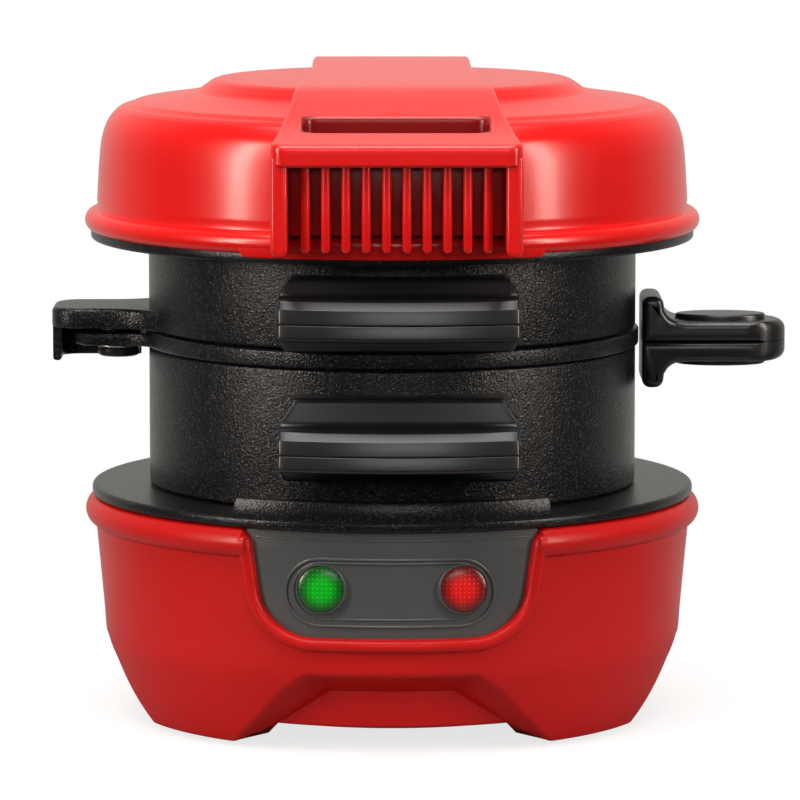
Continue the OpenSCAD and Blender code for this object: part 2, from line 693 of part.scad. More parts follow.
// A front handle half: a flange against the ring and a grip whose front bows outwards
module ring_handle(seam, top, bottom, up) {
    cut_z = up ? seam + 0.05 : seam - 60.05;
    bow = 90;
    difference() {
        intersection() {
            union() {
                translate([grip_x - grip_half, -ring_r - 4.6, bottom]) cube([2 * grip_half, 12, top - bottom]);
                translate([grip_x - grip_half, -grip_reach, seam - grip_h / 2])
                    cube([2 * grip_half, grip_reach - ring_r, grip_h]);
            }
            translate([grip_x, -grip_reach + bow, seam - 40]) cylinder(r = bow, h = 80);
            translate([-60, -100, cut_z]) cube([120, 120, 60]);
        }
        translate([0, 0, bottom - 5]) cylinder(r = ring_r + 0.1, h = top - bottom + 10);
        translate([grip_x - 15.1, -ring_r - 9.1, seam - 1.3]) cube([30.2, 20, 2.6]);
        for (s = [-1, 1]) translate([grip_x + s * 10, -ring_r - 5, 0]) {
            translate([0, 0, seam - 8]) cylinder(r = screw_r + (up ? 0 : screw_fit), h = 10);
            if (!up) translate([0, 0, bottom - 20]) cylinder(r = head_r + 0.2, h = seam - 3 - bottom + 20);
        }
    }
}

// The two screws that close a front handle from below
module ring_handle_screws(seam) {
    for (s = [-1, 1]) translate([grip_x + s * 10, -ring_r - 5, seam - 3]) screw_up(4.9, screw_r - 0.05);
}

module lower_handle_top() {
    color(black) on_table() ring_handle(lower_seam_z, lower_seam_z + 10.6, lower_seam_z - 7.3, true);
}

module lower_handle_bottom() {
    color(black) on_table() ring_handle(lower_seam_z, lower_seam_z + 10.6, lower_seam_z - 7.3, false);
}

module lower_handle_screws() {
    color(steel) on_table() ring_handle_screws(lower_seam_z);
}

module upper_handle_top() {
    color(black) on_table() ring_handle(upper_seam_z, upper_seam_z + 8.4, upper_seam_z - 7.4, true);
}

module upper_handle_bottom() {
    color(black) on_table() ring_handle(upper_seam_z, upper_seam_z + 8.4, upper_seam_z - 7.4, false);
}

module upper_handle_screws() {
    color(steel) on_table() ring_handle_screws(upper_seam_z);
}

// The left ear carries the swing pivot; its skirt closes the far end and the back
module ear() {
    skirt = ear_z - 7;
    reach = ear_reach - pivot_x;
    under = upper_z - 0.1;
    difference() {
        union() {
            translate([-pivot_x, 0, under]) linear_extrude(ear_z + ear_t - under) ear_plan();
            translate([-pivot_x, 0, ear_z]) cylinder(r = 5, h = 2);
            translate([-pivot_x, 0, skirt]) linear_extrude(under + 1 - skirt) difference() {
                ear_plan();
                translate([-reach + 2.4, -30]) square([80, 30 + ear_back - skirt_t]);
                translate([-30, -32]) square([80, 30]);
                translate([6, -30]) square([80, 60]);
            }
        }
        translate([0, 0, skirt - 10]) cylinder(r = ring_bore_d / 2 + 1, h = 40);
        translate([-pivot_x, 0, ear_z - 1]) cylinder(r = pivot_r, h = ear_t);
    }
}

// Plan of the ear about the pivot: round corners at the far end, running straight back to the ring
module ear_plan() {
    reach = ear_reach - pivot_x;
    r = 6;
    translate([-reach, -ear_half + r]) square([reach + 12, ear_half + ear_back - 2 * r]);
    translate([-reach + r, -ear_half]) square([reach - r + 12, ear_half + ear_back]);
    translate([-reach + r, -ear_half + r]) circle(r = r, $fn = 48);
    translate([-reach + r, ear_back - r]) circle(r = r, $fn = 48);
}

module upper_ring() {
    reach_y = ring_r - 2;
    color(coat) on_table() {
        difference() {
            translate([0, 0, upper_z]) cooking_ring(upper_ring_h);
            translate([-pivot_x, 0, ear_z - 1]) cylinder(r = pivot_r, h = ear_t);
        }
        difference() {
            ear();
            translate([0, 0, ear_z - 10]) cylinder(r = swing_r + 1, h = upper_z - stack_gap + 10.2 - ear_z);
        }
        ring_arms(upper_arm_x, [[reach_y - 1, upper_z + 2.6], [hinge_y - 8, hinge_z - 5],
            [hinge_y + 0.8, hinge_z - 5.8], [hinge_y - 1.6, hinge_z + 5.6], [hinge_y - 12, upper_z + 15.6],
            [reach_y - 1, upper_z + 15.6]]);
        difference() {
            handle_tang(upper_seam_z);
            tang_holes(upper_seam_z);
        }
    }
}

module pivot_screw() {
    color(steel) on_table() translate([-pivot_x, 0, 0]) {
        translate([0, 0, tongue_z - 2.8]) cylinder(r = 4.6, h = 1.9);
        translate([0, 0, tongue_z - 2]) cylinder(r = pivot_r - 0.05, h = ear_z + ear_t - 1.3 - tongue_z + 2);
    }
}

module pivot_washer() {
    color(steel) on_table() translate([-pivot_x, 0, tongue_z - 0.8]) difference() {
        cylinder(r = 4.85, h = 0.7);
        translate([0, 0, -1]) cylinder(r = pivot_r, h = 3);
    }
}

// The swing-out plate: a shallow dish with a rim, a tongue to the pivot and a tang for its grip
module swing_plate() {
    rim_in = swing_r - 2.4;
    color(coat) on_table() {
        translate([0, 0, swing_z]) rotate_extrude() polygon([[0, 0], [swing_r, 0], [swing_r, swing_rim_h],
            [rim_in, swing_rim_h], [rim_in - 1, swing_floor_t - 0.4], [0, swing_floor_t - 0.4]]);
        difference() {
            translate([-pivot_x, 0, tongue_z]) union() {
                translate([0, -7, 0]) cube([pivot_x - swing_r + 12, 14, tongue_t]);
                cylinder(r = 9.8, h = tongue_t);
            }
            translate([-pivot_x, 0, tongue_z - 1]) cylinder(r = pivot_r, h = 6);
            translate([0, 0, tongue_z - 1]) cylinder(r = ring_r + 0.4, h = swing_z - tongue_z + 1);
            translate([0, 0, tongue_z - 1]) cylinder(r = swing_r - 3, h = 6);
        }
        difference() {
            translate([swing_r - 3, -5, side_seam_z - 1]) cube([side_reach - 14 - swing_r, 10, 2]);
            for (x = [66, 74]) translate([x, 0, side_seam_z - 3]) cylinder(r = screw_r, h = 6);
        }
    }
}

// Outline of the right grip seen from above
module side_outline(half, x0) {
    r = half - 0.01;
    translate([x0, -half]) square([side_reach - r - x0, 2 * half]);
    translate([side_reach - r - 0.01, 0]) circle(r = half, $fn = 64);
}

// One half of the right grip, with its half of the end flange
module side_handle(up) {
    mid = side_seam_z;
    difference() {
        union() {
            translate([0, 0, up ? mid + 0.05 : mid - side_h / 2]) linear_extrude(side_h / 2 - 0.05)
                side_outline(side_half, flange_x + 1);
            translate([flange_x, -side_half - 1, up ? mid + 0.05 : mid - flange_h / 2])
                cube([5, 2 * side_half + 2, flange_h / 2 - 0.05]);
            translate([74, 0, up ? mid + side_h / 2 - eps : mid - side_h / 2 - 1.2])
                scale([1.9, 1, 1]) cylinder(r = 5.4, h = 1.2 + eps, $fn = 64);
        }
        translate([swing_r - 5, -5.1, mid - 1.1]) cube([side_reach - 11 - swing_r, 10.2, 2.2]);
        for (x = [66, 74]) translate([x, 0, 0]) {
            translate([0, 0, mid - 6]) cylinder(r = screw_r + (up ? 0 : screw_fit), h = 8.6);
            if (!up) translate([0, 0, mid - 20]) cylinder(r = head_r + 0.2, h = 17);
        }
    }
}

module swing_handle_top() { color(black) on_table() side_handle(true); }
module swing_handle_bottom() { color(black) on_table() side_handle(false); }
module swing_handle_screws() {
    color(steel) on_table() for (x = [66, 74]) translate([x, 0, side_seam_z - 3]) screw_up(5.4, screw_r - 0.05);
}

// Profile of the lid's dome, as a height over each radius, from the bead to the middle
function dome_points(inset) = concat(
    [[lid_wall_r - inset, lid_bead_top - 0.3], [lid_wall_r - 0.7 - inset, lid_z + 14.6],
     [lid_wall_r - 1 - inset, lid_z + 18.4], [lid_wall_r - 2 - inset, lid_z + 22.6],
     [lid_wall_r - 3.5 - inset, crease_z - 2.7], [crease_r + 1 - 0.7 * inset, crease_z - 0.3 - 0.8 * inset],
     [crease_r - 0.5 * inset, crease_z - inset], [tier_r - 0.2 * inset, crease_z + 2.5 - inset],
     [tier_r - 3.4 - 0.2 * inset, tier_z - inset], [0, tier_z + 0.6 - inset]]);

module lid_shell() {
    color(red) on_table() difference() {
        union() {
            rotate_extrude() polygon(concat([[0, lid_z]],
                arc([lid_bead_r - lid_bead_t, lid_bead_z], lid_bead_t, -90, 90), dome_points(0)));
            intersection() {
                translate([0, 0, lid_z - 0.6]) cylinder(r = lid_bead_r - 0.2, h = 2);
                translate([-33, -70, lid_z - 2]) cube([66, 30, 5]);
            }
        }
        rotate_extrude() polygon(concat([[0, lid_z - 3], [lid_wall_r - shell_wall, lid_z - 3]],
            dome_points(shell_wall)));
        translate([0, 0, lid_z - 4]) cylinder(r = plate_r + 0.25, h = 4.9);
        tub_outline(shell_wall * 0.7 + 0.2, tub_z - 0.3, 40);
        for (x = [-10, 10]) translate([x, 0, lid_z + 8]) y_rod(screw_r + screw_fit, 50, 80);
        translate([0, 0, lid_z + 14]) y_rod(lead_r + 1, 50, 80);
        for (s = [-1, 1]) translate([s * post_mid, 0, lid_z + 11]) y_rod(screw_r + screw_fit, -80, -50);
        for (s = [-1, 1]) translate([s * 8, 22, crease_z]) cylinder(r = screw_r + screw_fit, h = 20);
    }
    color(red) on_table() around(plate_screw_r, corner_turns) difference() {
        translate([0, 0, top_plate_z + hot_plate_t + 8]) cylinder(r = 4, h = 14);
        translate([0, 0, top_plate_z + hot_plate_t + 7]) cylinder(r = screw_r, h = 10);
    }
}

// Side view of the handle's spine over the dome, from the front edge to the back
spine_side = [[-handle_reach, lip_z - lip_drop], [-handle_reach, lip_z], [-66, lip_z + 2.2],
    [slot_y + 8.6, crease_z + 1.6], [-38, crease_z + 5.6], [-20, spine_z - 0.9], [0, spine_z],
    [20, spine_z + 0.7], [40, spine_z - 0.6], [52, crease_z + 3.4], [60, crease_z - 3], [64, crease_z - 8],
    [60, crease_z - 8], [40, crease_z - 2], [-40, crease_z - 2], [-64, lip_z - lip_drop]];

// Plan of the spine: wide at the front, narrow behind
module spine_plan() {
    polygon([[-handle_half, -handle_reach - 1], [handle_half, -handle_reach - 1],
        [spine_half, 2], [spine_half, 70], [-spine_half, 70], [-spine_half, 2]]);
}

// The finger slot's outline grown by an amount, as a body from z0 upwards
module tub_outline(grow, z0, h) {
    r = slot_r;
    translate([0, slot_y, z0]) {
        translate([-slot_half + r, -r - grow, 0]) cube([2 * (slot_half - r), 2 * (r + grow), h]);
        for (s = [-1, 1]) translate([s * (slot_half - r), 0, 0]) cylinder(r = r + grow, h = h);
    }
}

// The handle: a spine over the dome, a lip in front, a post at each side and a tub below the slot
module lid_handle() {
    color(red) on_table() difference() {
        union() {
            difference() {
                intersection() {
                    yz_plate(spine_side, -40, 40);
                    translate([0, 0, lid_z]) linear_extrude(60) spine_plan();
                }
                rotate_extrude() polygon(concat([[0, lid_z - 3], [lid_wall_r + 0.1, lid_z - 3]],
                    dome_points(-0.1)));
            }
            difference() {
                intersection() {
                    both_sides() translate([handle_half - 4, -handle_reach, fin_foot_z - 0.8])
                        cube([6, 24, lip_z - lip_drop + 1 - fin_foot_z]);
                    translate([0, 0, lid_z - 5]) linear_extrude(60) spine_plan();
                }
                cylinder(r = lid_bead_r + 0.1, h = lid_bead_top + 0.1);
                cylinder(r = lid_wall_r + 0.1, h = 200);
            }
            difference() {
                both_sides() translate([post_mid - 2.4, -67.5, lid_bead_top + 0.3]) cube([5, 12, 12]);
                cylinder(r = lid_wall_r + 0.1, h = 200);
            }
            intersection() {
                tub_outline(shell_wall * 0.7, tub_z, crease_z - tub_z + 1);
                yz_plate([[-80, 0], [-80, lip_z + 1], [slot_y + 7.1, crease_z + 1.4],
                    [-40, crease_z + 1.4], [-40, 0]], -40, 40);
            }
        }
        tub_outline(0, tub_z + 1.6, 60);
        for (s = [-1, 1]) translate([s * post_mid, 0, lid_z + 11]) y_rod(screw_r, -68, -50);
        for (s = [-1, 1]) translate([s * 8, 22, crease_z]) cylinder(r = screw_r, h = tier_rise + 2.7);
    }
}

// Two screws from inside the dome into the handle's posts and two up into its spine
module handle_screws() {
    wall = sqrt(pow(lid_wall_r - 0.6 - shell_wall, 2) - pow(post_mid + head_r, 2));
    color(steel) on_table() {
        for (s = [-1, 1]) translate([s * post_mid, -wall + 0.1, lid_z + 11])
            rotate([90, 0, 0]) screw_up(9.6, screw_r - 0.05);
        for (s = [-1, 1]) translate([s * 8, 22, tier_z - shell_wall]) screw_up(4.5, screw_r - 0.05);
    }
}

// The fins under the handle: a back wall, upright blades and the sill below
module handle_fins() {
    back = -69;
    front = -handle_reach + 3.6;
    half = handle_half - 4.2;
    top = lip_z - lip_drop - 0.2;
    color(red) on_table() difference() {
        union() {
            translate([-half, back, fin_foot_z]) cube([2 * half, 1.2, top - fin_foot_z]);
            translate([-half, front - 1.4, fin_foot_z - 1.5]) cube([2 * half, back + 1.2 - front + 1.4, 1.5 + eps]);
            for (i = [0 : fin_count - 1]) translate([(i - (fin_count - 1) / 2) * fin_pitch - 0.9, front, fin_foot_z])
                cube([1.8, back - front + 0.1, top - fin_foot_z]);
        }
        cylinder(r = lid_bead_r + 0.1, h = lid_bead_top + 0.1);
    }
}

module upper_plate() {
    color(coat) on_table() translate([0, 0, top_plate_z]) mirror([0, 0, 1])
        hot_plate(clamp_z + clamp_t - base_h, true);
}

// Moves a piece of the lower heater to its place above the upper plate
module in_lid() { translate([0, 0, top_plate_z + base_h]) mirror([0, 0, 1]) children(); }

module upper_element() {
    color([0.45, 0.45, 0.47]) on_table() in_lid() translate([0, 0, base_rim_z - element_d / 2 - seat]) element();
}

module upper_element_clamp() { color(steel) on_table() in_lid() translate([0, 0, clamp_z]) element_clamp(); }
module upper_heat_shield() { color(steel) on_table() in_lid() translate([0, 0, shield_z]) heat_shield(); }
module upper_inner_screws() { color(steel) on_table() in_lid() inner_screws(); }

// Screws from the cooking face, outside the ring's seat, up into the dome's bosses
module upper_plate_screws() {
    color(steel) on_table() around(plate_screw_r, corner_turns)
        translate([0, 0, top_plate_z + head_h]) screw_up(15, screw_r - 0.05);
}

module upper_fuse() {
    color([0.85, 0.82, 0.7]) on_table() in_lid() translate([0, 0, base_rim_z - 2.1]) {
        translate([0, 16, 0]) x_rod(2, -6, 6);
        translate([0, 16, 0]) x_rod(0.7, -9, 9);
    }
}

module lid_wiring() {
    low = lid_z + 14;
    top = top_plate_z + base_h - shield_z + 2;
    t1 = [element_r * cos(72), element_r * sin(72)];
    color([0.85, 0.85, 0.8]) on_table() {
        lead([[4.5, hinge_y, hinge_z], [1.2, hinge_y, hinge_z], [0, hinge_y, hinge_z + 1.2],
            [0, hinge_y, low - 1.2], [0, hinge_y - 1.2, low], [0, 58, low], [2, 52, low + 3.2],
            [t1[0] - 3, t1[1] + 6, top + 4], [t1[0], t1[1], top + 3], [t1[0], t1[1], top]], lead_r);
        lead([[-1.7, 55.4, low + 1.6], [-4, 50, low + 4.4], [3 - t1[0], t1[1] + 6, top + 4],
            [-t1[0], t1[1], top + 3], [-t1[0], t1[1], top]], lead_r);
    }
}

// The lid's arm: a plate screwed to the dome's back, and a hollow barrel on the hinge axis
module lid_hinge_arm() {
    color(red) on_table() difference() {
        union() {
            translate([-15, 60, lid_z + 4.6]) cube([30, 9.4, 14.4]);
            yz_plate([[64, lid_z + 6], [64, lid_z + 19], [hinge_y, lid_z + 19], [hinge_y + 3, lid_z + 16],
                [hinge_y + 3, hinge_z], [hinge_y - 4, hinge_z], [hinge_y - 4, lid_z + 3], [68.6, lid_z + 6]],
                -barrel_half, barrel_half);
            translate([0, hinge_y, hinge_z]) x_rod(knuckle_r, -barrel_half, barrel_half);
        }
        cylinder(r = lid_wall_r + 0.1, h = 200);
        cylinder(r = lid_bead_r + 0.1, h = lid_bead_z + 2.4);
        translate([0, hinge_y, hinge_z]) {
            x_rod(pin_r + pin_fit, 4.8, barrel_half + 1);
            x_rod(pin_r + pin_fit, -barrel_half - 1, -4.8);
            x_rod(lead_r + 0.5, -1.5, 5);
            cylinder(r = lead_r + 0.5, h = lid_z + 14 + lead_r + 0.5 - hinge_z);
        }
        translate([0, 0, lid_z + 14]) y_rod(lead_r + 0.5, 50, hinge_y);
        for (x = [-10, 10]) translate([x, 0, lid_z + 8]) y_rod(screw_r, 50, hinge_y - 5.6);
    }
}

module lid_hinge_screws() {
    color(steel) on_table() for (x = [-10, 10])
        translate([x, sqrt(pow(lid_wall_r - shell_wall - 0.7, 2) - 100), lid_z + 8]) rotate([-90, 0, 0])
            screw_up(6, screw_r - 0.05);
}

base_shell();
front_panel();
preheat_lens();
power_lens();
preheat_lamp();
power_lamp();
lamp_holder();
lamp_screws();
lower_plate();
lower_element();
lower_element_clamp();
lower_heat_shield();
lower_inner_screws();
plate_screws();
thermostat();
thermal_fuse();
terminal_block();
base_wiring();
bottom_cover();
bottom_screws();
rubber_feet();
hinge_tower();
tower_screws();
hinge_pins();
cord_bushing();
lower_ring();
lower_handle_top();
lower_handle_bottom();
lower_handle_screws();
upper_ring();
upper_handle_top();
upper_handle_bottom();
upper_handle_screws();
pivot_screw();
pivot_washer();
swing_plate();
swing_handle_top();
swing_handle_bottom();
swing_handle_screws();
lid_shell();
lid_handle();
handle_fins();
handle_screws();
upper_plate();
upper_element();
upper_element_clamp();
upper_heat_shield();
upper_inner_screws();
upper_plate_screws();
upper_fuse();
lid_wiring();
lid_hinge_arm();
lid_hinge_screws();
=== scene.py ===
from math import acos, asin, cos, hypot, pi, radians, sin

import bmesh
import bpy
import numpy as np
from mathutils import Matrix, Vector


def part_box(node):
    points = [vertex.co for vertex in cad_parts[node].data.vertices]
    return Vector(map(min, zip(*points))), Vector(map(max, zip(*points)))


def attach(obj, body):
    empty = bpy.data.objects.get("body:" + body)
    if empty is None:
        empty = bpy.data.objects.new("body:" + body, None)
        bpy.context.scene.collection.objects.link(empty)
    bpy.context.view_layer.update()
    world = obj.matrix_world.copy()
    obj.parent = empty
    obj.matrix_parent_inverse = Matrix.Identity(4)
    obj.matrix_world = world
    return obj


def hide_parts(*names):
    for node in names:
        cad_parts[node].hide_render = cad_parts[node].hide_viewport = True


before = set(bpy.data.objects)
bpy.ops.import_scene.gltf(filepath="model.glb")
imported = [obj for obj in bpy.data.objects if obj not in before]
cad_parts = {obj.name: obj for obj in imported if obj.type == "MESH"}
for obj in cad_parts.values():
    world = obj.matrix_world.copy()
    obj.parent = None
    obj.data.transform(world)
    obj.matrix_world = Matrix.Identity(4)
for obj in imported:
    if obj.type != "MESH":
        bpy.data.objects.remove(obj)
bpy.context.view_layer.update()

# Measures: all shapes are drawn in millimetres about the axis of the cooking rings
shield_low, shield_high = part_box("lower_heat_shield")
AXIS = np.array([(shield_low.x + shield_high.x) / 2, (shield_low.y + shield_high.y) / 2, 0.0])


def edge_of(node, axis, high=True):
    """One side of a frame node's box, from the ring axis or the table, to a tenth of a millimetre."""
    return round(1000 * (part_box(node)[1 if high else 0][axis] - AXIS[axis]), 1)


def middle_of(node, axis, below=None):
    """Halfway between a frame node's low side and its own high side, or that of the node below it."""
    return round(1000 * ((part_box(node)[0][axis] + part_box(below or node)[1][axis]) / 2 - AXIS[axis]), 1)


RING_WALL = 2.7
LOWER_RING_H = 30.2
UPPER_RING_H = 19.2
RING_R = edge_of("lower_ring", 0)
BORE_R = RING_R - RING_WALL
PLATE_R = edge_of("lower_plate", 0)
PLATE_EDGE = 0.8
BASE_TOP = edge_of("base_shell", 2)
LEG_Z = edge_of("base_shell", 2, False)
TOWER_HALF = edge_of("hinge_tower", 0)
TOWER_BACK = edge_of("hinge_tower", 1)
LOWER_Z = edge_of("lower_ring", 2, False)
UPPER_Z = edge_of("upper_ring", 2) - UPPER_RING_H
TOP_PLATE_Z = edge_of("upper_plate", 2, False)
PIVOT_X = middle_of("pivot_washer", 0)
HINGE_Y = middle_of("hinge_pins", 1)
HINGE_Z = middle_of("hinge_pins", 2)
KNUCKLE_W = 4.0
GRIP_X = middle_of("lower_handle_top", 0)
GRIP_HALF = 25.4
LOWER_SEAM = middle_of("lower_handle_top", 2, "lower_handle_bottom")
UPPER_SEAM = middle_of("upper_handle_top", 2, "upper_handle_bottom")
SIDE_SEAM = middle_of("swing_handle_top", 2, "swing_handle_bottom")
LENS_X = middle_of("power_lens", 0)
LENS_Z = middle_of("power_lens", 2)
# The panel's face lies this far inside the base's wall
PANEL_SINK = 0.85
# The middle of the finger slot, its half width and the half length of its straight sides
SLOT_Y = -59.6
SLOT_R = 4.9
SLOT_RUN = 14.6


# Shapes
def arc(cx, cy, r, a0, a1, n):
    """Points at centre + r (cos a, sin a), with a from a0 to a1 degrees in n steps."""
    a = np.radians(np.linspace(a0, a1, n + 1))
    return np.stack([cx + r * np.cos(a), cy + r * np.sin(a)], -1)


def resample(points, n, closed=False):
    """The same line with n points at equal distances along it."""
    p = np.asarray(points, float)
    if closed:
        p = np.vstack([p, p[:1]])
    t = np.r_[0, np.cumsum(np.linalg.norm(np.diff(p, axis=0), axis=1))]
    u = np.linspace(0, t[-1], n + 1 if closed else n)
    out = np.stack([np.interp(u, t, p[:, k]) for k in range(p.shape[1])], -1)
    return out[:-1] if closed else out


def flowing(points, n):
    """A smooth line through the points: a cubic between each pair, with its slopes taken from the
    neighbours (Catmull-Rom), sampled n times over the whole length."""
    p = np.asarray(points, float)
    m = len(p)
    q = np.vstack([2 * p[0] - p[1], p, 2 * p[-1] - p[-2]])
    u = np.linspace(0, m - 1, n)
    i = np.minimum(u.astype(int), m - 2)
    t = (u - i)[:, None]
    a, b, c, d = q[i], q[i + 1], q[i + 2], q[i + 3]
    return 0.5 * (2 * b + (c - a) * t + (2 * a - 5 * b + 4 * c - d) * t**2 + (3 * b - a - 3 * c + d) * t**3)


def rounded(points, radii, steps=6):
    """A closed outline whose corners are replaced by arcs that touch both sides of the corner."""
    p = np.asarray(points, float)
    n = len(p)
    radii = [radii] * n if np.isscalar(radii) else radii
    out = []
    for k in range(n):
        a, b, c = p[k - 1], p[k], p[(k + 1) % n]
        u, v = (a - b) / np.linalg.norm(a - b), (c - b) / np.linalg.norm(c - b)
        half = acos(max(-1.0, min(1.0, float(u @ v)))) / 2
        if radii[k] <= 0 or abs(half - pi / 2) < 1e-3:
            out.append(b[None])
            continue
        bis = (u + v) / np.linalg.norm(u + v)
        centre = b + bis * radii[k] / sin(half)
        start = b + u * radii[k] / np.tan(half) - centre
        stop = b + v * radii[k] / np.tan(half) - centre
        a0, a1 = np.arctan2(start[1], start[0]), np.arctan2(stop[1], stop[0])
        turn = (a1 - a0 + pi) % (2 * pi) - pi
        ang = a0 + turn * np.linspace(0, 1, steps + 1)
        out.append(centre + radii[k] * np.stack([np.cos(ang), np.sin(ang)], -1))
    return np.vstack(out)


def area(outline):
    """Signed area of a closed outline, above 0 when it runs anticlockwise."""
    x, y = np.asarray(outline).T
    return 0.5 * float(np.sum(x * np.roll(y, -1) - np.roll(x, -1) * y))


def wound(outline):
    """The same closed outline with its points running anticlockwise."""
    return outline if area(outline) > 0 else outline[::-1]


def grown(outline, d):
    """A closed outline moved by d along its outward normals. Points run anticlockwise."""
    p = np.asarray(outline, float)
    e = np.roll(p, -1, 0) - p
    e /= np.maximum(np.linalg.norm(e, axis=1), 1e-9)[:, None]
    n = np.stack([e[:, 1], -e[:, 0]], -1)
    m = n + np.roll(n, 1, 0)
    m /= np.maximum(np.linalg.norm(m, axis=1), 1e-9)[:, None]
    stretch = 1 / np.maximum((m * n).sum(1), 0.5)
    return p + m * (d * stretch)[:, None]


def grid(rows, around=False, over=False):
    """Quads between neighbouring points of an array (rows, columns, 3), closed sideways or over if asked."""
    r = np.asarray(rows, float)
    n, m = r.shape[:2]
    i, j = np.meshgrid(np.arange(n if over else n - 1), np.arange(m if around else m - 1), indexing="ij")
    i2, j2 = (i + 1) % n, (j + 1) % m
    quads = np.stack([i * m + j, i * m + j2, i2 * m + j2, i2 * m + j], -1).reshape(-1, 4)
    return r.reshape(-1, 3), quads.tolist()


def tube(rows, first=True, last=True):
    """A closed body through loops of points, shut by a flat face at each end."""
    v, f = grid(rows, around=True)
    n, m = np.asarray(rows).shape[:2]
    if first:
        f.append(list(range(m - 1, -1, -1)))
    if last:
        f.append(list(range((n - 1) * m, n * m)))
    return v, f


def lathe(profile, sides=192, start=0.0, turn=360.0):
    """A closed profile of (r, z) turned about the ring axis: x = r sin a, y = -r cos a, z = z."""
    p = np.asarray(profile, float)
    full = turn == 360.0
    a = np.radians(start + np.linspace(0, turn, sides + 1))
    a = a[:-1] if full else a
    rows = np.stack([p[:, 0] * np.sin(a)[:, None], -p[:, 0] * np.cos(a)[:, None],
                     np.broadcast_to(p[:, 1], (len(a), len(p)))], -1)
    if full:
        return grid(rows, around=True, over=True)
    return tube(rows)


def stack(outline, low, high, edge=0.5, base=None, steps=4):
    """Loops of an upright body with rounded top and bottom edges: the outline shrinks by edge (1 - cos a)
    while the height moves by edge sin a, with a last flat loop just inside each end."""
    base = edge if base is None else base
    a = np.linspace(0, pi / 2, steps + 1)
    levels = []
    if base:
        levels += [(base + 0.3, low)] + [(base * (1 - sin(t)), low + base * (1 - cos(t))) for t in a]
    else:
        levels += [(0.3, low), (0, low)]
    if edge:
        levels += [(edge * (1 - cos(t)), high - edge * (1 - sin(t))) for t in a] + [(edge + 0.3, high)]
    else:
        levels += [(0, high), (0.3, high)]
    return [(grown(outline, -d), z) for d, z in levels]


def upright(outline, low, high, edge=0.5, base=None):
    """A body standing on the XY plane, from an outline seen from above."""
    return tube([np.c_[o, np.full(len(o), z)] for o, z in stack(outline, low, high, edge, base)])


def sideways(outline, low, high, edge=0.5, base=None):
    """A body across X, from an outline in Y and Z."""
    return tube([np.c_[np.full(len(o), x), o] for o, x in stack(outline, low, high, edge, base)])


def frontal(outline, low, high, edge=0.5, base=None):
    """A body across Y, from an outline in X and Z."""
    loops = stack(outline, low, high, edge, base)
    return tube([np.c_[o[:, 0], np.full(len(o), y), o[:, 1]] for o, y in loops])


def bar(along, section, closed=False):
    """A section of (side, up) offsets carried along a line: along is (points, side vectors, up vectors)."""
    p, s, u = (np.asarray(x, float) for x in along)
    sec = np.asarray(section, float)
    rows = p[:, None] + s[:, None] * sec[None, :, :1] + u[:, None] * sec[None, :, 1:]
    return grid(rows, around=True, over=True) if closed else tube(rows)


def spun(profile, place, axis, sides=48):
    """A profile of (r, height) turned about an axis through a place:
    place + height axis + r (cos a, sin a)."""
    p = np.asarray(profile, float)
    w = np.asarray(axis, float) / np.linalg.norm(axis)
    u = np.cross(w, [0, 0, 1] if abs(w[2]) < 0.9 else [1, 0, 0])
    u /= np.linalg.norm(u)
    v = np.cross(w, u)
    a = np.linspace(0, 2 * pi, sides + 1)[:-1]
    ring = np.cos(a)[:, None] * u + np.sin(a)[:, None] * v
    rows = np.asarray(place, float) + p[:, None, :1] * ring[None] + p[:, None, 1:] * w
    return tube(rows)


def warped(part, change):
    """The same body with its points moved by a function of the whole array of points."""
    return change(np.asarray(part[0], float).copy()), part[1]


def mirrored(part):
    """The same body on the other side of the middle plane."""
    v = np.asarray(part[0], float) * [-1, 1, 1]
    return v, [f[::-1] for f in part[1]]


def build(name, body, parts, finish, nodes=(), sharp=38.0, which=None):
    """Joins bodies of points and faces into one object that rides on a body of the frame.
    which gives the number of the finish that each part takes, when there are several."""
    points, faces, numbers, count = [], [], [], 0
    for k, (v, f) in enumerate(parts):
        points.append(np.asarray(v, float))
        faces += [[i + count for i in face] for face in f]
        numbers += [0 if which is None else which[k]] * len(f)
        count += len(v)
    co = np.vstack(points) / 1000 + AXIS
    mesh = bpy.data.meshes.new(name)
    mesh.from_pydata(co.tolist(), [], faces)
    mesh.polygons.foreach_set("material_index", np.array(numbers, np.int32))
    mesh.update()
    bm = bmesh.new()
    bm.from_mesh(mesh)
    bmesh.ops.remove_doubles(bm, verts=bm.verts, dist=4e-6)
    bmesh.ops.dissolve_degenerate(bm, edges=bm.edges, dist=1e-6)
    bmesh.ops.recalc_face_normals(bm, faces=bm.faces)
    bm.to_mesh(mesh)
    bm.free()
    mesh.polygons.foreach_set("use_smooth", np.ones(len(mesh.polygons), bool))
    mesh.set_sharp_from_angle(angle=radians(sharp))
    obj = bpy.data.objects.new(name, mesh)
    bpy.context.scene.collection.objects.link(obj)
    for f in finish if isinstance(finish, (list, tuple)) else [finish]:
        mesh.materials.append(f.material)
    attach(obj, body)
    if nodes:
        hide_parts(*nodes)
    return obj


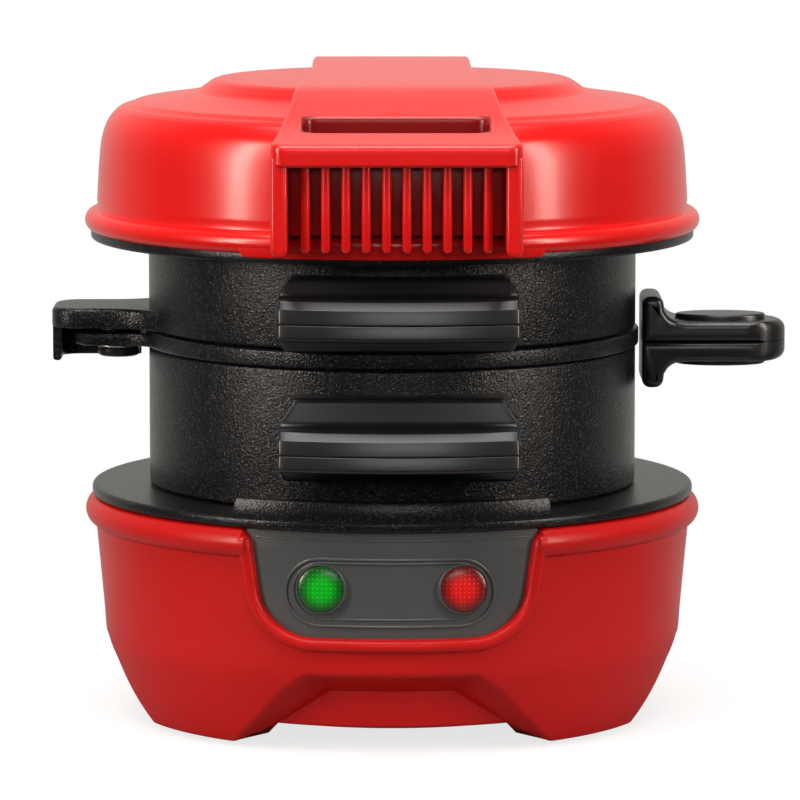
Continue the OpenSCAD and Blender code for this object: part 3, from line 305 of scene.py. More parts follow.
# Finishes
class Value:
    """A socket of a finish that can be used in sums like a number."""

    def __init__(self, finish, socket):
        self.finish, self.socket = finish, socket

    def does(self, operation, *terms, clamp=False):
        settings = {"operation": operation, "use_clamp": clamp}
        return self.finish.node("ShaderNodeMath", settings, dict(enumerate(terms)))

    def __add__(self, other):
        return self.does("ADD", self, other)

    def __radd__(self, other):
        return self.does("ADD", other, self)

    def __sub__(self, other):
        return self.does("SUBTRACT", self, other)

    def __rsub__(self, other):
        return self.does("SUBTRACT", other, self)

    def __mul__(self, other):
        return self.does("MULTIPLY", self, other)

    def __rmul__(self, other):
        return self.does("MULTIPLY", other, self)

    def __pow__(self, other):
        return self.does("POWER", self, other)

    def wave(self):
        return self.does("SINE", self)

    def kept(self):
        return self.does("ADD", self, 0.0, clamp=True)

    def span(self, a, b):
        """0 at a and 1 at b, smooth between."""
        settings = {"interpolation_type": "SMOOTHSTEP", "clamp": True}
        return self.finish.node("ShaderNodeMapRange", settings, {"Value": self, "From Min": a, "From Max": b})


class Finish:
    """A material with one Principled shader and coordinates in millimetres about the ring axis."""

    def __init__(self, name, **constants):
        self.material = bpy.data.materials.new(name)
        self.material.use_nodes = True
        self.tree = self.material.node_tree
        self.tree.nodes.clear()
        self.out = self.tree.nodes.new("ShaderNodeOutputMaterial")
        self.shader = self.tree.nodes.new("ShaderNodeBsdfPrincipled")
        self.tree.links.new(self.shader.outputs[0], self.out.inputs["Surface"])
        for socket, value in constants.items():
            self.shade(socket.replace("_", " "), value)
        where = self.tree.nodes.new("ShaderNodeTexCoord")
        self.place = self.node("ShaderNodeMapping", {}, {
            "Vector": Value(self, where.outputs["Object"]),
            "Location": tuple(-1000 * AXIS), "Scale": (1000, 1000, 1000)})

    def feed(self, socket, value):
        if isinstance(value, Value):
            self.tree.links.new(value.socket, socket)
        elif isinstance(value, (tuple, list)) and len(value) == 3 and len(socket.default_value) == 4:
            socket.default_value = (*value, 1.0)
        else:
            socket.default_value = value

    def node(self, kind, settings, inputs, out=0):
        """Adds any node: its settings first, then its inputs by name or place, and gives one output."""
        made = self.tree.nodes.new(kind)
        for key, value in settings.items():
            setattr(made, key, value)
        for key, value in inputs.items():
            self.feed(made.inputs[key], value)
        return Value(self, made.outputs[out])

    def shade(self, socket, value):
        self.feed(self.shader.inputs[socket], value)

    def noise(self, scale, detail=2.0, rough=0.5, at=None):
        sizes = {"Scale": scale, "Detail": detail, "Roughness": rough}
        return self.node("ShaderNodeTexNoise", {}, {"Vector": at or self.place, **sizes})

    def cells(self, scale, at=None, out=0, **settings):
        return self.node("ShaderNodeTexVoronoi", settings, {"Vector": at or self.place, "Scale": scale}, out)

    def axis(self, k):
        return self.node("ShaderNodeSeparateXYZ", {}, {0: self.place}, k)

    def mix(self, factor, a, b):
        """Colour a where the factor is 0 and b where it is 1."""
        made = self.tree.nodes.new("ShaderNodeMix")
        made.data_type = "RGBA"
        for key, value in ((0, factor), (6, a), (7, b)):
            self.feed(made.inputs[key], value)
        return Value(self, made.outputs[2])

    def bump(self, height, strength, distance, after=None):
        inputs = {"Height": height, "Strength": strength, "Distance": distance / 1000}
        if after is not None:
            inputs["Normal"] = after
        return self.node("ShaderNodeBump", {}, inputs)


def red_plastic(name="red plastic", strength=1.0, satin=0.24, gloss=0.45):
    """Moulded red plastic: a satin gloss with a faint unevenness left by the mould."""
    f = Finish(name, Specular_IOR_Level=gloss, Coat_Roughness=0.11)
    broad = f.noise(0.035, 2.0)
    fine = f.noise(1.1, 3.0)
    a, b = (0.71, 0.0065, 0.0060), (0.78, 0.0085, 0.0070)
    f.shade("Base Color", f.mix(broad, tuple(strength * c for c in a), tuple(strength * c for c in b)))
    f.shade("Roughness", satin + 0.04 * fine)
    f.shade("Coat Weight", 0.06 + 0.08 * broad)
    f.shade("Normal", f.bump(f.noise(0.45, 1.0), 0.06, 0.03, f.bump(fine, 0.05, 0.006)))
    return f


def handle_plastic():
    """The red plastic of the lid's handle, with painted shade that makes it darker down inside the finger slot.
    """
    f = red_plastic("handle red")
    x, y = f.axis(0) - 0.8, f.axis(1) - SLOT_Y
    # painted shade: the base colour darkens down inside the finger slot, where shade falls, and the coat thins
    # there
    painted_shade = (x * x).span(410.0, 388.0) * (y * y).span(32.0, 25.0)
    f.shade("Base Color", f.mix(painted_shade, (0.75, 0.008, 0.007), (0.22, 0.002, 0.002)))
    f.shade("Coat Weight", 0.25 * (1 - painted_shade))
    return f


def fin_plastic():
    """The red plastic of the grille, with painted shade that makes it nearly black deep between the fins."""
    f = red_plastic("grille red")
    # painted shade: behind the fins' fronts the base colour turns nearly black, where shade falls between the
    # fins
    painted_shade = f.axis(1).span(-71.6, -70.0)
    f.shade("Base Color", f.mix(painted_shade, (0.75, 0.008, 0.007), (0.30, 0.003, 0.003)))
    f.shade("Coat Weight", 0.25 * (1 - painted_shade))
    return f


def coated_metal(name="coated casting", grain=1.0):
    """Black non-stick coating on a casting: a grainy skin with pale specks."""
    f = Finish(name, Specular_IOR_Level=0.34)
    peel = f.noise(1.9, 2.0, 0.6)
    dots = f.cells(1.9, feature="F1")
    bright = dots.span(0.36, 0.14) * f.noise(0.9, 1.0).span(0.40, 0.60)
    f.shade("Base Color", f.mix(bright * grain, (0.004, 0.004, 0.005), (0.15, 0.148, 0.145)))
    f.shade("Metallic", bright * (0.8 * grain))
    f.shade("Roughness", 0.24 + 0.10 * peel)
    f.shade("Normal", f.bump(peel, 0.75, 0.20 * grain, f.bump(dots, 0.5, 0.08 * grain)))
    return f


def black_plastic(name="black plastic"):
    """Heat-proof black plastic: a fine matt grain."""
    f = Finish(name, Specular_IOR_Level=0.68)
    grain = f.noise(2.4, 2.0)
    wide = f.noise(0.06, 1.0)
    f.shade("Base Color", f.mix(wide, (0.006, 0.006, 0.007), (0.010, 0.010, 0.011)))
    f.shade("Roughness", 0.28 + 0.05 * grain)
    f.shade("Normal", f.bump(grain, 0.04, 0.01))
    return f


def grey_plastic(name="grey plastic"):
    """Grey panel plastic with a soft sheen."""
    f = Finish(name, Specular_IOR_Level=0.5)
    grain = f.noise(3.0, 2.0)
    f.shade("Base Color", f.mix(f.noise(0.08, 1.0), (0.062, 0.066, 0.068), (0.078, 0.082, 0.084)))
    f.shade("Roughness", 0.30 + 0.08 * grain)
    f.shade("Coat Weight", 0.35 + 0.10 * grain)
    f.shade("Normal", f.bump(grain, 0.10, 0.02))
    return f


def metal(name, colour, rough=0.3):
    """Machined or drawn metal with fine lines across it."""
    f = Finish(name, Metallic=1.0)
    stretched = f.node("ShaderNodeMapping", {}, {"Vector": f.place, "Scale": (0.4, 0.4, 9.0)})
    lines = f.noise(1.0, 3.0, at=stretched)
    f.shade("Base Color", f.mix(lines, tuple(0.8 * c for c in colour), colour))
    f.shade("Roughness", rough + 0.2 * lines)
    f.shade("Normal", f.bump(lines, 0.15, 0.02))
    return f


def rubber(name="black rubber"):
    """Dull rubber with a dusty skin."""
    f = Finish(name, Specular_IOR_Level=0.3)
    dust = f.noise(0.8, 4.0)
    f.shade("Base Color", f.mix(dust, (0.012, 0.012, 0.012), (0.03, 0.03, 0.029)))
    f.shade("Roughness", 0.72 + 0.2 * dust)
    f.shade("Normal", f.bump(dust, 0.3, 0.05))
    return f


def lens_plastic(name, centre, body, lit, level):
    """A see-through coloured lens, moulded inside with small squares that catch the lamp's light."""
    f = Finish(name, Specular_IOR_Level=0.6, IOR=1.49)
    x, z = f.axis(0) - centre[0], f.axis(2) - centre[1]
    away = ((x * x) + (z * z)) ** 0.5
    squares = ((x * 6.6).wave().span(0.35, 0.9)) * ((z * 6.6).wave().span(0.35, 0.9))
    glow = away.span(4.5, 1.4)
    lift = (0.06 + 0.94 * glow) * (0.50 + 0.9 * squares)
    f.shade("Base Color", f.mix(glow, tuple(0.15 * c for c in body), body))
    f.shade("Emission Color", f.mix((lift * 0.9).kept(), tuple(0.08 * c for c in lit), lit))
    f.shade("Emission Strength", level)
    f.shade("Roughness", 0.26 + 0.12 * squares)
    f.shade("Normal", f.bump(squares, 0.4, 0.15))
    return f


def sleeve(name="lead sleeve"):
    """Pale woven glass sleeve on a lead."""
    f = Finish(name, Specular_IOR_Level=0.3)
    weave = f.cells(1.8, feature="F1")
    f.shade("Base Color", f.mix(weave, (0.62, 0.60, 0.52), (0.78, 0.77, 0.72)))
    f.shade("Roughness", 0.7 + 0.2 * weave)
    f.shade("Normal", f.bump(weave, 0.4, 0.08))
    return f


def glass(name="lamp glass"):
    """The lamp's glass tube with a warm glow inside."""
    f = Finish(name, IOR=1.5, Transmission_Weight=0.7)
    mist = f.noise(0.6, 2.0)
    f.shade("Base Color", f.mix(mist, (0.9, 0.85, 0.8), (1.0, 0.97, 0.93)))
    f.shade("Roughness", 0.05 + 0.15 * mist)
    return f


RED = red_plastic()
# painted shade: the base and hinge tower take the lid's red at 0.72 of its colour, so they read darker than the
# lid
BASE_RED_WITH_PAINTED_SHADE = red_plastic("satin red plastic with painted shade", 0.72, 0.38, 0.22)
HANDLE_RED = handle_plastic()
FIN_RED = fin_plastic()
COAT = coated_metal()
SMOOTH_COAT = coated_metal("coated plate", 0.55)
BLACK = black_plastic()
GREY = grey_plastic()
STEEL = metal("steel", (0.62, 0.62, 0.63))
SHEET = metal("sheet steel", (0.55, 0.56, 0.57), 0.42)
SHEATH = metal("heater tube", (0.30, 0.29, 0.28), 0.5)
RUBBER = rubber()
SLEEVE = sleeve()
GLASS = glass()
GREEN = lens_plastic("green lens", (-LENS_X, LENS_Z), (0.0, 0.22, 0.008), (0.0, 0.40, 0.008), 1.0)
RUBY = lens_plastic("red lens", (LENS_X, LENS_Z), (0.38, 0.004, 0.004), (0.62, 0.012, 0.010), 1.0)


# Base
WALL = flowing([(56.6, -1.5), (58.9, 3.5), (60.6, 8.0), (62.1, 13.0), (63.4, 18.0), (64.0, 25.0),
                (65.0, 36.0), (65.6, 42.4), (65.9, 45.0)], 80)
# The drum behind the openings between the legs, the legs' inner side, and the openings' upper edges
DRUM_R = 55.0
DRUM_Z = 5.4
LEG_IN_R = 44.6
ARCH_Z = 18.0
ARCH_IN_Z = 13.4


def wall_r(z):
    """Outer radius of the base's wall at a height."""
    return np.interp(z, WALL[:, 1], WALL[:, 0])


def on_wall(x, z, out=0.0):
    """Points on the front of the base's wall, at x and z, moved outward by out."""
    r = wall_r(z) + out
    return np.stack([x, -np.sqrt(r**2 - x**2), z], -1)


# The outline of the front panel, from the top left, down, across and up
U_PATH = rounded([(-33.4, 60.0), (-28.3, 24.6), (28.3, 24.6), (33.4, 60.0)], [0, 13.0, 13.0, 0], 14)
# The panel's sides run on to this height, above the bead that hides them
U_TOP = 59.0


def u_line(shift, top):
    """The U line moved outward by shift and cut off at a height."""
    line = grown(U_PATH, shift)
    line = resample(line, 700)
    return line[line[:, 1] <= top]


def half_width(line, z):
    """Half the width inside the U line at each height."""
    return np.interp(z, *np.array(sorted((p[1], abs(p[0])) for p in line)).T)


def inside_u(x, z, shift):
    """1 inside the U line moved outward by shift, and 0 outside, smooth over about one millimetre."""
    line = u_line(shift, U_TOP)
    half = half_width(line, z)
    low = line[:, 1].min()
    t = np.clip((half - np.abs(x)) / 0.9 + 0.5, 0, 1) * np.clip((z - low) / 0.9 + 0.5, 0, 1)
    return t * t * (3 - 2 * t)


def opening(top, foot, inner_top, inner_foot, n):
    """Columns of one opening between legs, over its right half: outer angle, outer height, inner angle and
    inner height, from the middle to the leg."""
    outer = [(-1.0, ARCH_Z), (top, ARCH_Z), (top + 5.4, 13.6), (foot, LEG_Z), (foot - 9, -9)]
    outer = rounded(outer, [0, 3.0, 5.0, 0, 0], 6)
    outer = outer[(outer[:, 0] >= 0) & (outer[:, 1] >= LEG_Z - 0.05)]
    outer = resample(np.vstack([[(0.0, ARCH_Z)], outer]), n)
    inner = [(-1.0, ARCH_IN_Z), (inner_top, ARCH_IN_Z), (inner_foot, DRUM_Z), (inner_foot - 4, -1)]
    inner = rounded(inner, [0, 2.6, 0, 0], 6)
    inner = inner[(inner[:, 0] >= 0) & (inner[:, 1] >= DRUM_Z - 0.1)]
    inner = resample(np.vstack([[(0.0, ARCH_IN_Z)], inner]), n)
    return (np.arcsin(outer[:, 0] / wall_r(outer[:, 1])), outer[:, 1],
            np.arcsin(np.clip(inner[:, 0] / DRUM_R, -1, 1)), inner[:, 1])


def base_columns():
    """All columns round the base: outer angle, outer height, inner angle, inner radius and inner height."""
    front = opening(18.7, 34.1, 13.1, 24.9, 46)
    side = opening(10.0, 25.0, 5.5, 17.5, 34)
    parts = []
    for quarter in range(4):
        own, other = (front, side) if quarter % 2 == 0 else (side, front)
        mid = quarter * pi / 2
        ao, zo, ai, zi = own
        parts.append(np.stack([mid + ao, zo, mid + ai, np.full(len(ao), DRUM_R), zi], -1))
        a = np.linspace(mid + ao[-1], mid + pi / 2 - other[0][-1], 40)[1:-1]
        foot, inside = np.full(len(a), LEG_Z), np.full(len(a), LEG_IN_R)
        parts.append(np.stack([a, foot, a, inside, foot], -1))
        mid += pi / 2
        ao, zo, ai, zi = (c[::-1] for c in other)
        parts.append(np.stack([mid - ao, zo, mid - ai, np.full(len(ao), DRUM_R), zi], -1)[:-1])
    return np.vstack(parts)


def wall_bar(p, section, closed=False, step=1):
    """A section carried along every so many points of a line on the base's wall, upright on the wall."""
    out = np.stack([p[:, 0], p[:, 1], np.zeros(len(p))], -1)
    out /= np.linalg.norm(out, axis=1)[:, None]
    along = np.roll(p, -1, 0) - np.roll(p, 1, 0) if closed else np.gradient(p, axis=0)
    along /= np.linalg.norm(along, axis=1)[:, None]
    side = np.cross(along, out)
    return bar((p[::step], side[::step], out[::step]), section, closed)


def make_base():
    """Closed loops of (r, z) round the base: rim, bead, wall, the edge of each opening, the roof or leg's
    underside, and back up the inside."""
    col = base_columns()
    a, zo, ai, ri, zi = (c[:, None] for c in col.T)
    n = len(col)
    bead = arc(64.6, 45.7, 3.3, 90, -64, 16)
    top = 42.7
    t = np.linspace(0, 1, 52)[None]
    z_wall = top + (zo + 0.8 - top) * t
    r_wall = wall_r(z_wall)
    x = r_wall * np.sin(a)
    front = np.cos(a) > 0
    r_wall = r_wall - 3.2 * inside_u(x, z_wall, -0.2) * front
    xs, ys, zs = [], [], []

    def row(angle, r, z):
        angle, r, z = np.broadcast_arrays(angle, r, z)
        xs.append(r * np.sin(angle)), ys.append(-r * np.cos(angle)), zs.append(z)

    bead_r, bead_z = bead.T[:, None]
    behind = inside_u(bead_r * np.sin(a), np.minimum(bead_z, 52.0), -0.2) * front
    row(a, np.full((n, 1), 62.0), np.full((n, 1), BASE_TOP))
    row(a, bead_r * (1 - behind) + 62.1 * behind, np.broadcast_to(bead_z, (n, len(bead))))
    row(a, r_wall, z_wall)
    # a soft edge between the wall and the roof of the opening
    edge = np.stack([wall_r(zo) * np.sin(a), -wall_r(zo) * np.cos(a), zo], -1)
    above = np.stack([wall_r(zo + 0.8) * np.sin(a), -wall_r(zo + 0.8) * np.cos(a), zo + 0.8], -1)
    inner = np.stack([ri * np.sin(ai), -ri * np.cos(ai), zi], -1)
    way = inner - edge
    within = edge + way * (0.9 / np.linalg.norm(way, axis=-1, keepdims=True))
    u = np.array([0.2, 0.4, 0.6, 0.8, 1.0])[None, :, None]
    soft = (1 - u) ** 2 * above + 2 * u * (1 - u) * edge + u**2 * within
    u = np.array([0.1, 0.3, 0.5, 0.75, 1.0])[None, :, None]
    roof = within * (1 - u) + inner * u
    for part in (soft, roof):
        xs.append(part[..., 0]), ys.append(part[..., 1]), zs.append(part[..., 2])
    leg = ri < 50
    row(ai, np.where(leg, ri, 54.0), np.where(leg, 5.6, zi))
    row(ai, np.full((n, 1), 53.4), np.full((n, 1), 19.5))
    row(a, np.full((n, 1), 59.6), np.full((n, 1), 20.5))
    row(a, np.full((n, 1), 60.4), np.full((n, 1), 42.0))
    shell = np.stack([np.hstack(xs), np.hstack(ys), np.hstack(zs)], -1)
    edge, wall = 0.8, 2.2
    drum = lathe(np.vstack([[(LEG_IN_R, DRUM_Z)], arc(DRUM_R - edge, DRUM_Z + edge, edge, -90, 0, 4),
                            [(DRUM_R, 20.0), (DRUM_R - wall, 20.0), (DRUM_R - wall, 7.4), (LEG_IN_R, 7.4)]]), 180)
    line = u_line(0.0, 46.6)
    b = np.radians(np.linspace(0, 180, 13))
    half = 1.45
    section = np.vstack([np.stack([half * np.cos(b), 1.55 * np.sin(b) ** 0.85 - 0.1], -1),
                         [(-half, -2.6), (half, -2.6)]])
    bead_u = wall_bar(on_wall(line[:, 0], line[:, 1]), section, step=2)
    return [grid(shell, around=True, over=True), drum, bead_u]


build("base_shell_red", "base", make_base(), BASE_RED_WITH_PAINTED_SHADE, ["base_shell"])


def make_panel():
    """The grey panel: x = u half(z) with u from -1 to 1, on the wall moved inward, with a back behind it."""
    line = u_line(-0.9, U_TOP)
    low = line[:, 1].min()
    z = np.r_[low + 0.01 + (1 - np.cos(np.linspace(0, pi / 2, 26))) * 9.0, np.linspace(low + 9.6, 48.9, 30)]
    across, rows = 121, len(z)
    x = np.linspace(-1, 1, across)[None] * half_width(line, z)[:, None]
    zz = np.broadcast_to(z[:, None], x.shape)

    def sheet(inward):
        points = on_wall(x, np.minimum(zz, 44.9), -inward)
        points[..., 2] = zz
        return grid(points)

    v1, f1 = sheet(PANEL_SINK)
    v2, f2 = sheet(2.6)
    last = across - 1
    rim = [(0, j) for j in range(across)] + [(i, last) for i in range(1, rows)]
    rim += [(rows - 1, j) for j in range(last - 1, -1, -1)] + [(i, 0) for i in range(rows - 2, 0, -1)]
    k = np.array([i * across + j for i, j in rim])
    after = np.roll(k, -1)
    sides = np.stack([k, after, after + len(v1), k + len(v1)], -1).tolist()
    slab = (np.vstack([v1, v2]), f1 + [[i + len(v1) for i in f] for f in f2] + sides)

    def trace(points, width, rise, closed=True, sink=0.5):
        """A thin raised line that lies on the panel."""
        q = resample(points, 260, closed)
        b = np.radians(np.linspace(0, 180, 7))
        half = width / 2
        crown = np.stack([half * np.cos(b), rise * np.sin(b)], -1)
        section = np.vstack([crown, [(-half, -sink), (half, -sink)]])
        return wall_bar(on_wall(q[:, 0], q[:, 1], -PANEL_SINK), section, closed)

    oblong = rounded([(-20.9, 30.2), (19.9, 30.2), (19.9, 42.4), (-20.9, 42.4)], 6.05, 16)
    outside = rounded([(-22.5, 28.7), (21.5, 28.7), (21.5, 43.2), (-22.5, 43.2)], 7.2, 16)
    parts = [slab, trace(oblong, 0.6, 0.35), trace(outside, 0.75, 0.45),
             trace([(-28.8, 47.3), (28.8, 47.3)], 0.4, 0.25, False)]
    collar = [(4.95, -3.0), (4.95, 0.1), (5.05, 0.3), (5.3, 0.3), (5.45, 0.1), (5.6, -0.6), (5.6, -3.0)]
    for x in (-LENS_X, LENS_X):
        place = on_wall(x, LENS_Z)
        parts.append(spun(collar, place + [0, 0.35, 0], (0.9 * x / hypot(place[0], place[1]), -1, 0), 64))
    return parts


build("front_panel_grey", "base", make_panel(), GREY, ["front_panel"])

for node, side, finish, slot in (("preheat_lens", -1, GREEN, "green_lens"), ("power_lens", 1, RUBY, "red_lens")):
    r = np.linspace(4.8, 0.0, 14)
    dome = np.stack([r, 1.0 * np.sqrt(1 - (r / 5.0) ** 2) + 0.1], -1)
    profile = np.vstack([[(0.0, -3.0), (4.8, -3.0)], dome])
    place = on_wall(side * LENS_X, LENS_Z) + [0, 0.2, 0]
    build(node + "_dome", "base", [spun(profile, place, (side * 0.14, -1, 0), 64)], finish, [node])


def plate_profile(low, *top):
    """The section of a hot plate with a round edge, and then the points of its top face."""
    r, edge = PLATE_R - PLATE_EDGE, PLATE_EDGE
    return np.vstack([[(0.0, low)], arc(r, low + edge, edge, -90, 0, 5), arc(r, low + 2 * edge, edge, 0, 90, 5),
                      *[[(x, low + 3 * edge)] for x in (*top, 0.0)]])


def make_lower_plate():
    """A disc with a soft edge; its front lip rises over |x| < 34 and leans in a little."""
    disc = lathe(plate_profile(BASE_TOP, PLATE_R - 1.8), 240)
    half = asin(34.0 / PLATE_R)
    a = np.linspace(-half, half, 161)
    fade = np.clip((half - np.abs(a)) / 0.012, 0, 1)
    rise = 4.4 * fade * (2 - fade) + 0.02
    loops = []
    for r, k in ((63.6, -0.4), (63.9, 0.0), (64.1, 0.8), (64.3, 0.95), (64.6, 1.0), (65.4, 1.0), (65.9, 0.95),
                 (66.25, 0.8), (66.35, 0.0), (66.2, -0.4)):
        z = 51.2 + np.where(k > 0, rise * k, k)
        loops.append(np.stack([r * np.sin(a), -r * np.cos(a), np.broadcast_to(z, a.shape)], -1))
    lip = tube(np.stack(loops, 1))
    return [disc, lip]


build("lower_plate_disc", "base", make_lower_plate(), SMOOTH_COAT, ["lower_plate"])


def round_ended(low, high, edge, cap, middle, n):
    """Pairs of inset and place along a body with round ends: edge (1 - sin a) at low + edge (1 - cos a), no
    inset at the middle places, the same arc at the high end, and an inset of cap on both end faces."""
    a = np.linspace(0, pi / 2, n)
    start = [(edge * (1 - sin(t)), low + edge * (1 - cos(t))) for t in a]
    stop = [(edge * (1 - cos(t)), high - edge * (1 - sin(t))) for t in a]
    return [(cap, low), *start, *[(0.0, place) for place in middle], *stop, (cap, high)]


def block(outline, low, high, edge=0.8, clear=None):
    """A body across X from an outline in Y and Z, with rounded ends. clear(z) is the radius that it stays
    outside of, where something round is beside it."""
    middle = np.linspace(low + edge, high - edge, 9)[1:-1]
    levels = round_ended(low, high, edge, 1.4 * edge, middle, 4)
    rows = tube([np.c_[np.full(len(outline), x), grown(outline, -d)] for d, x in levels])

    def keep_clear(v):
        near = np.sqrt(np.maximum(clear(v[:, 2]) ** 2 - v[:, 0] ** 2, 0))
        v[:, 1] = np.maximum(v[:, 1], near)
        return v

    return warped(rows, keep_clear) if clear else rows


def make_tower():
    """The hinge tower behind the base: a block that follows the base, notched in the middle, with four ears."""
    def clear(z):
        return np.interp(z, (20.0, 44.0, 46.5, 57.4, 58.0), (64.6, 65.7, 68.05, 68.05, 57.0))

    def side(top):
        line = [(56, 24), (74.5, 24), (TOWER_BACK, 30), (TOWER_BACK, top), (68, top), (58, top - 10)]
        return wound(resample(rounded(line, [0, 4, 5, 2.2, 2.5, 0], 5), 150, True))

    ear = np.vstack([[(79.0, 66), (TOWER_BACK, 76.2), (TOWER_BACK, HINGE_Z)],
                     arc(HINGE_Y, HINGE_Z, TOWER_BACK - HINGE_Y, 0, 180, 20), [(68, HINGE_Z), (69.2, 66)]])
    ear = wound(resample(ear, 90, True))
    parts = [block(side(64.5), -9.0, 9.0, 0.3, clear)]
    for s in (-1, 1):
        for low, high, outline, edge, keep in ((7.6, TOWER_HALF, side(77.5), 1.2, clear),
                                               (7.3, 12.0, ear, 0.5, None),
                                               (TOWER_HALF - 10, TOWER_HALF, ear, 1.0, None)):
            parts.append(block(outline, *sorted((s * low, s * high)), edge, keep))
    return parts


build("hinge_tower_red", "base", make_tower(), BASE_RED_WITH_PAINTED_SHADE, ["hinge_tower"])


# Rings
def ring_profile(low, high, edge=0.7):
    """The section of a cooking ring, with rolled edges outside."""
    r = RING_R - edge
    return np.vstack([arc(r, low + edge, edge, -90, 0, 5), arc(r, high - edge, edge, 0, 90, 5),
                      [(BORE_R + 0.6, high), (BORE_R, high - 0.6), (BORE_R, low + 0.6), (BORE_R + 0.6, low)]])


def knuckle_arm(x0, points, edge=0.6):
    """A hinge arm: its side outline ends in a round eye about the hinge axis."""
    w = KNUCKLE_W
    arm = sideways(rounded(points, 1.2, 4), x0, x0 + w, edge)
    eye = [(3.15, 0.1), (5.4, 0.0), (6.0, 0.6), (6.0, w - 0.6), (5.4, w), (3.15, w - 0.1)]
    eye = spun(eye, (x0, HINGE_Y, HINGE_Z), (1, 0, 0), 64)
    return [arm, eye, mirrored(arm), mirrored(eye)]


LOWER_ARM_X = 16.6
UPPER_ARM_X = 12.3
lower_arm = [(49.0, 68.7), (66.0, 81.6), (76.4, 88.0), (69.5, 97.5), (56.0, 82.6), (49.0, 80.6)]
upper_arm = [(50.7, 88.7), (66.0, 88.5), (74.8, 87.7), (72.4, 99.1), (62.0, 101.7), (50.7, 101.7)]
wall = lathe(ring_profile(LOWER_Z, LOWER_Z + LOWER_RING_H), 256)
build("lower_ring_cast", "lower_ring_body", [wall, *knuckle_arm(LOWER_ARM_X, lower_arm)], COAT, ["lower_ring"])


def make_ear():
    """The left ear: seen from above it leaves the ring in a wide curve, and its end is a rounded square."""
    front = flowing([(-49.5, -19.4), (-52.5, -14.8), (-56.5, -11.2), (-61.5, -9.4), (-66.0, -9.0)], 14)
    back = flowing([(-66.0, 12.2), (-60.0, 12.4), (-55.0, 14.5), (-49.0, 20.6)], 10)
    end = np.vstack([arc(-69.0, 6.2, 6.0, 90, 180, 8), arc(-69.0, -3.0, 6.0, 180, 270, 8)])
    outline = np.vstack([back[::-1], end, front[::-1], [(-44.0, -16.0), (-44.0, 16.0)]])
    top = upright(wound(outline), 86.0, 90.4, 1.1, 0.5)
    boss = spun([(0, 0), (5.0, 0.0), (5.0, 1.2), (0, 1.2)], (PIVOT_X, 0, 85.2), (0, 0, 1), 40)
    path = np.vstack([[(-74.0, -1.8), (-74.0, 5.0)], arc(-69.2, 6.4, 4.8, 180, 90, 8),
                      [(-66.0, 11.2), (-56.0, 11.2)]])
    path = resample(path, 40)
    p = np.c_[path, np.full(len(path), 82.2)]
    along = np.gradient(p, axis=0)
    along /= np.linalg.norm(along, axis=1)[:, None]
    side = np.cross(along, [0, 0, 1.0])
    up = np.broadcast_to([0.0, 0.0, 1.0], p.shape)
    section = rounded([(-0.95, -4.0), (0.95, -4.0), (0.95, 4.6), (-0.95, 4.6)], [0.7, 0.7, 0, 0], 3)
    return [top, boss, bar((p, side, up), section)]


wall = lathe(ring_profile(UPPER_Z, UPPER_Z + UPPER_RING_H), 256)
build("upper_ring_cast", "upper_ring_body", [wall, *knuckle_arm(UPPER_ARM_X, upper_arm), *make_ear()], COAT,
      ["upper_ring"])


def make_swing_plate():
    """The dish, its rim and the tongue that runs to the pivot."""
    dish = lathe(np.vstack([[(0.0, 82.2)], arc(53.9, 82.7, 0.5, -90, 0, 4), arc(53.9, 85.3, 0.5, 0, 90, 4),
                            [(52.2, 85.8), (51.2, 84.6), (0.0, 84.5)]]), 256)
    side = np.array([(-51.0, -13.0), (-55.5, -8.4), (-60.0, -6.9), (-67.0, -7.2)])
    tip = arc(PIVOT_X, 0, 9.8, 228, 132, 16)
    outline = np.vstack([flowing(side, 10)[:-1], tip, flowing((side * [1, -1])[::-1], 10)[1:]])
    tongue = upright(wound(outline), 82.0, 84.9, 0.6)
    return [dish, tongue]


build("swing_plate_cast", "swing_plate_body", make_swing_plate(), COAT, ["swing_plate"])

screw = [(0, 0), (4.0, 0.0), (4.5, 0.3), (4.6, 0.8), (4.6, 1.7), (4.2, 1.9), (2.45, 1.9), (2.45, 9.6),
         (2.1, 9.9), (0, 9.9)]
build("pivot_screw_turned", "upper_ring_body", [spun(screw, (PIVOT_X, 0, 79.2), (0, 0, 1), 64)], BLACK,
      ["pivot_screw"])
washer = [(2.5, 0), (4.65, 0.0), (4.85, 0.15), (4.85, 0.55), (4.65, 0.7), (2.5, 0.7)]
build("pivot_washer_turned", "upper_ring_body", [spun(washer, (PIVOT_X, 0, 81.2), (0, 0, 1), 64)], STEEL,
      ["pivot_washer"])


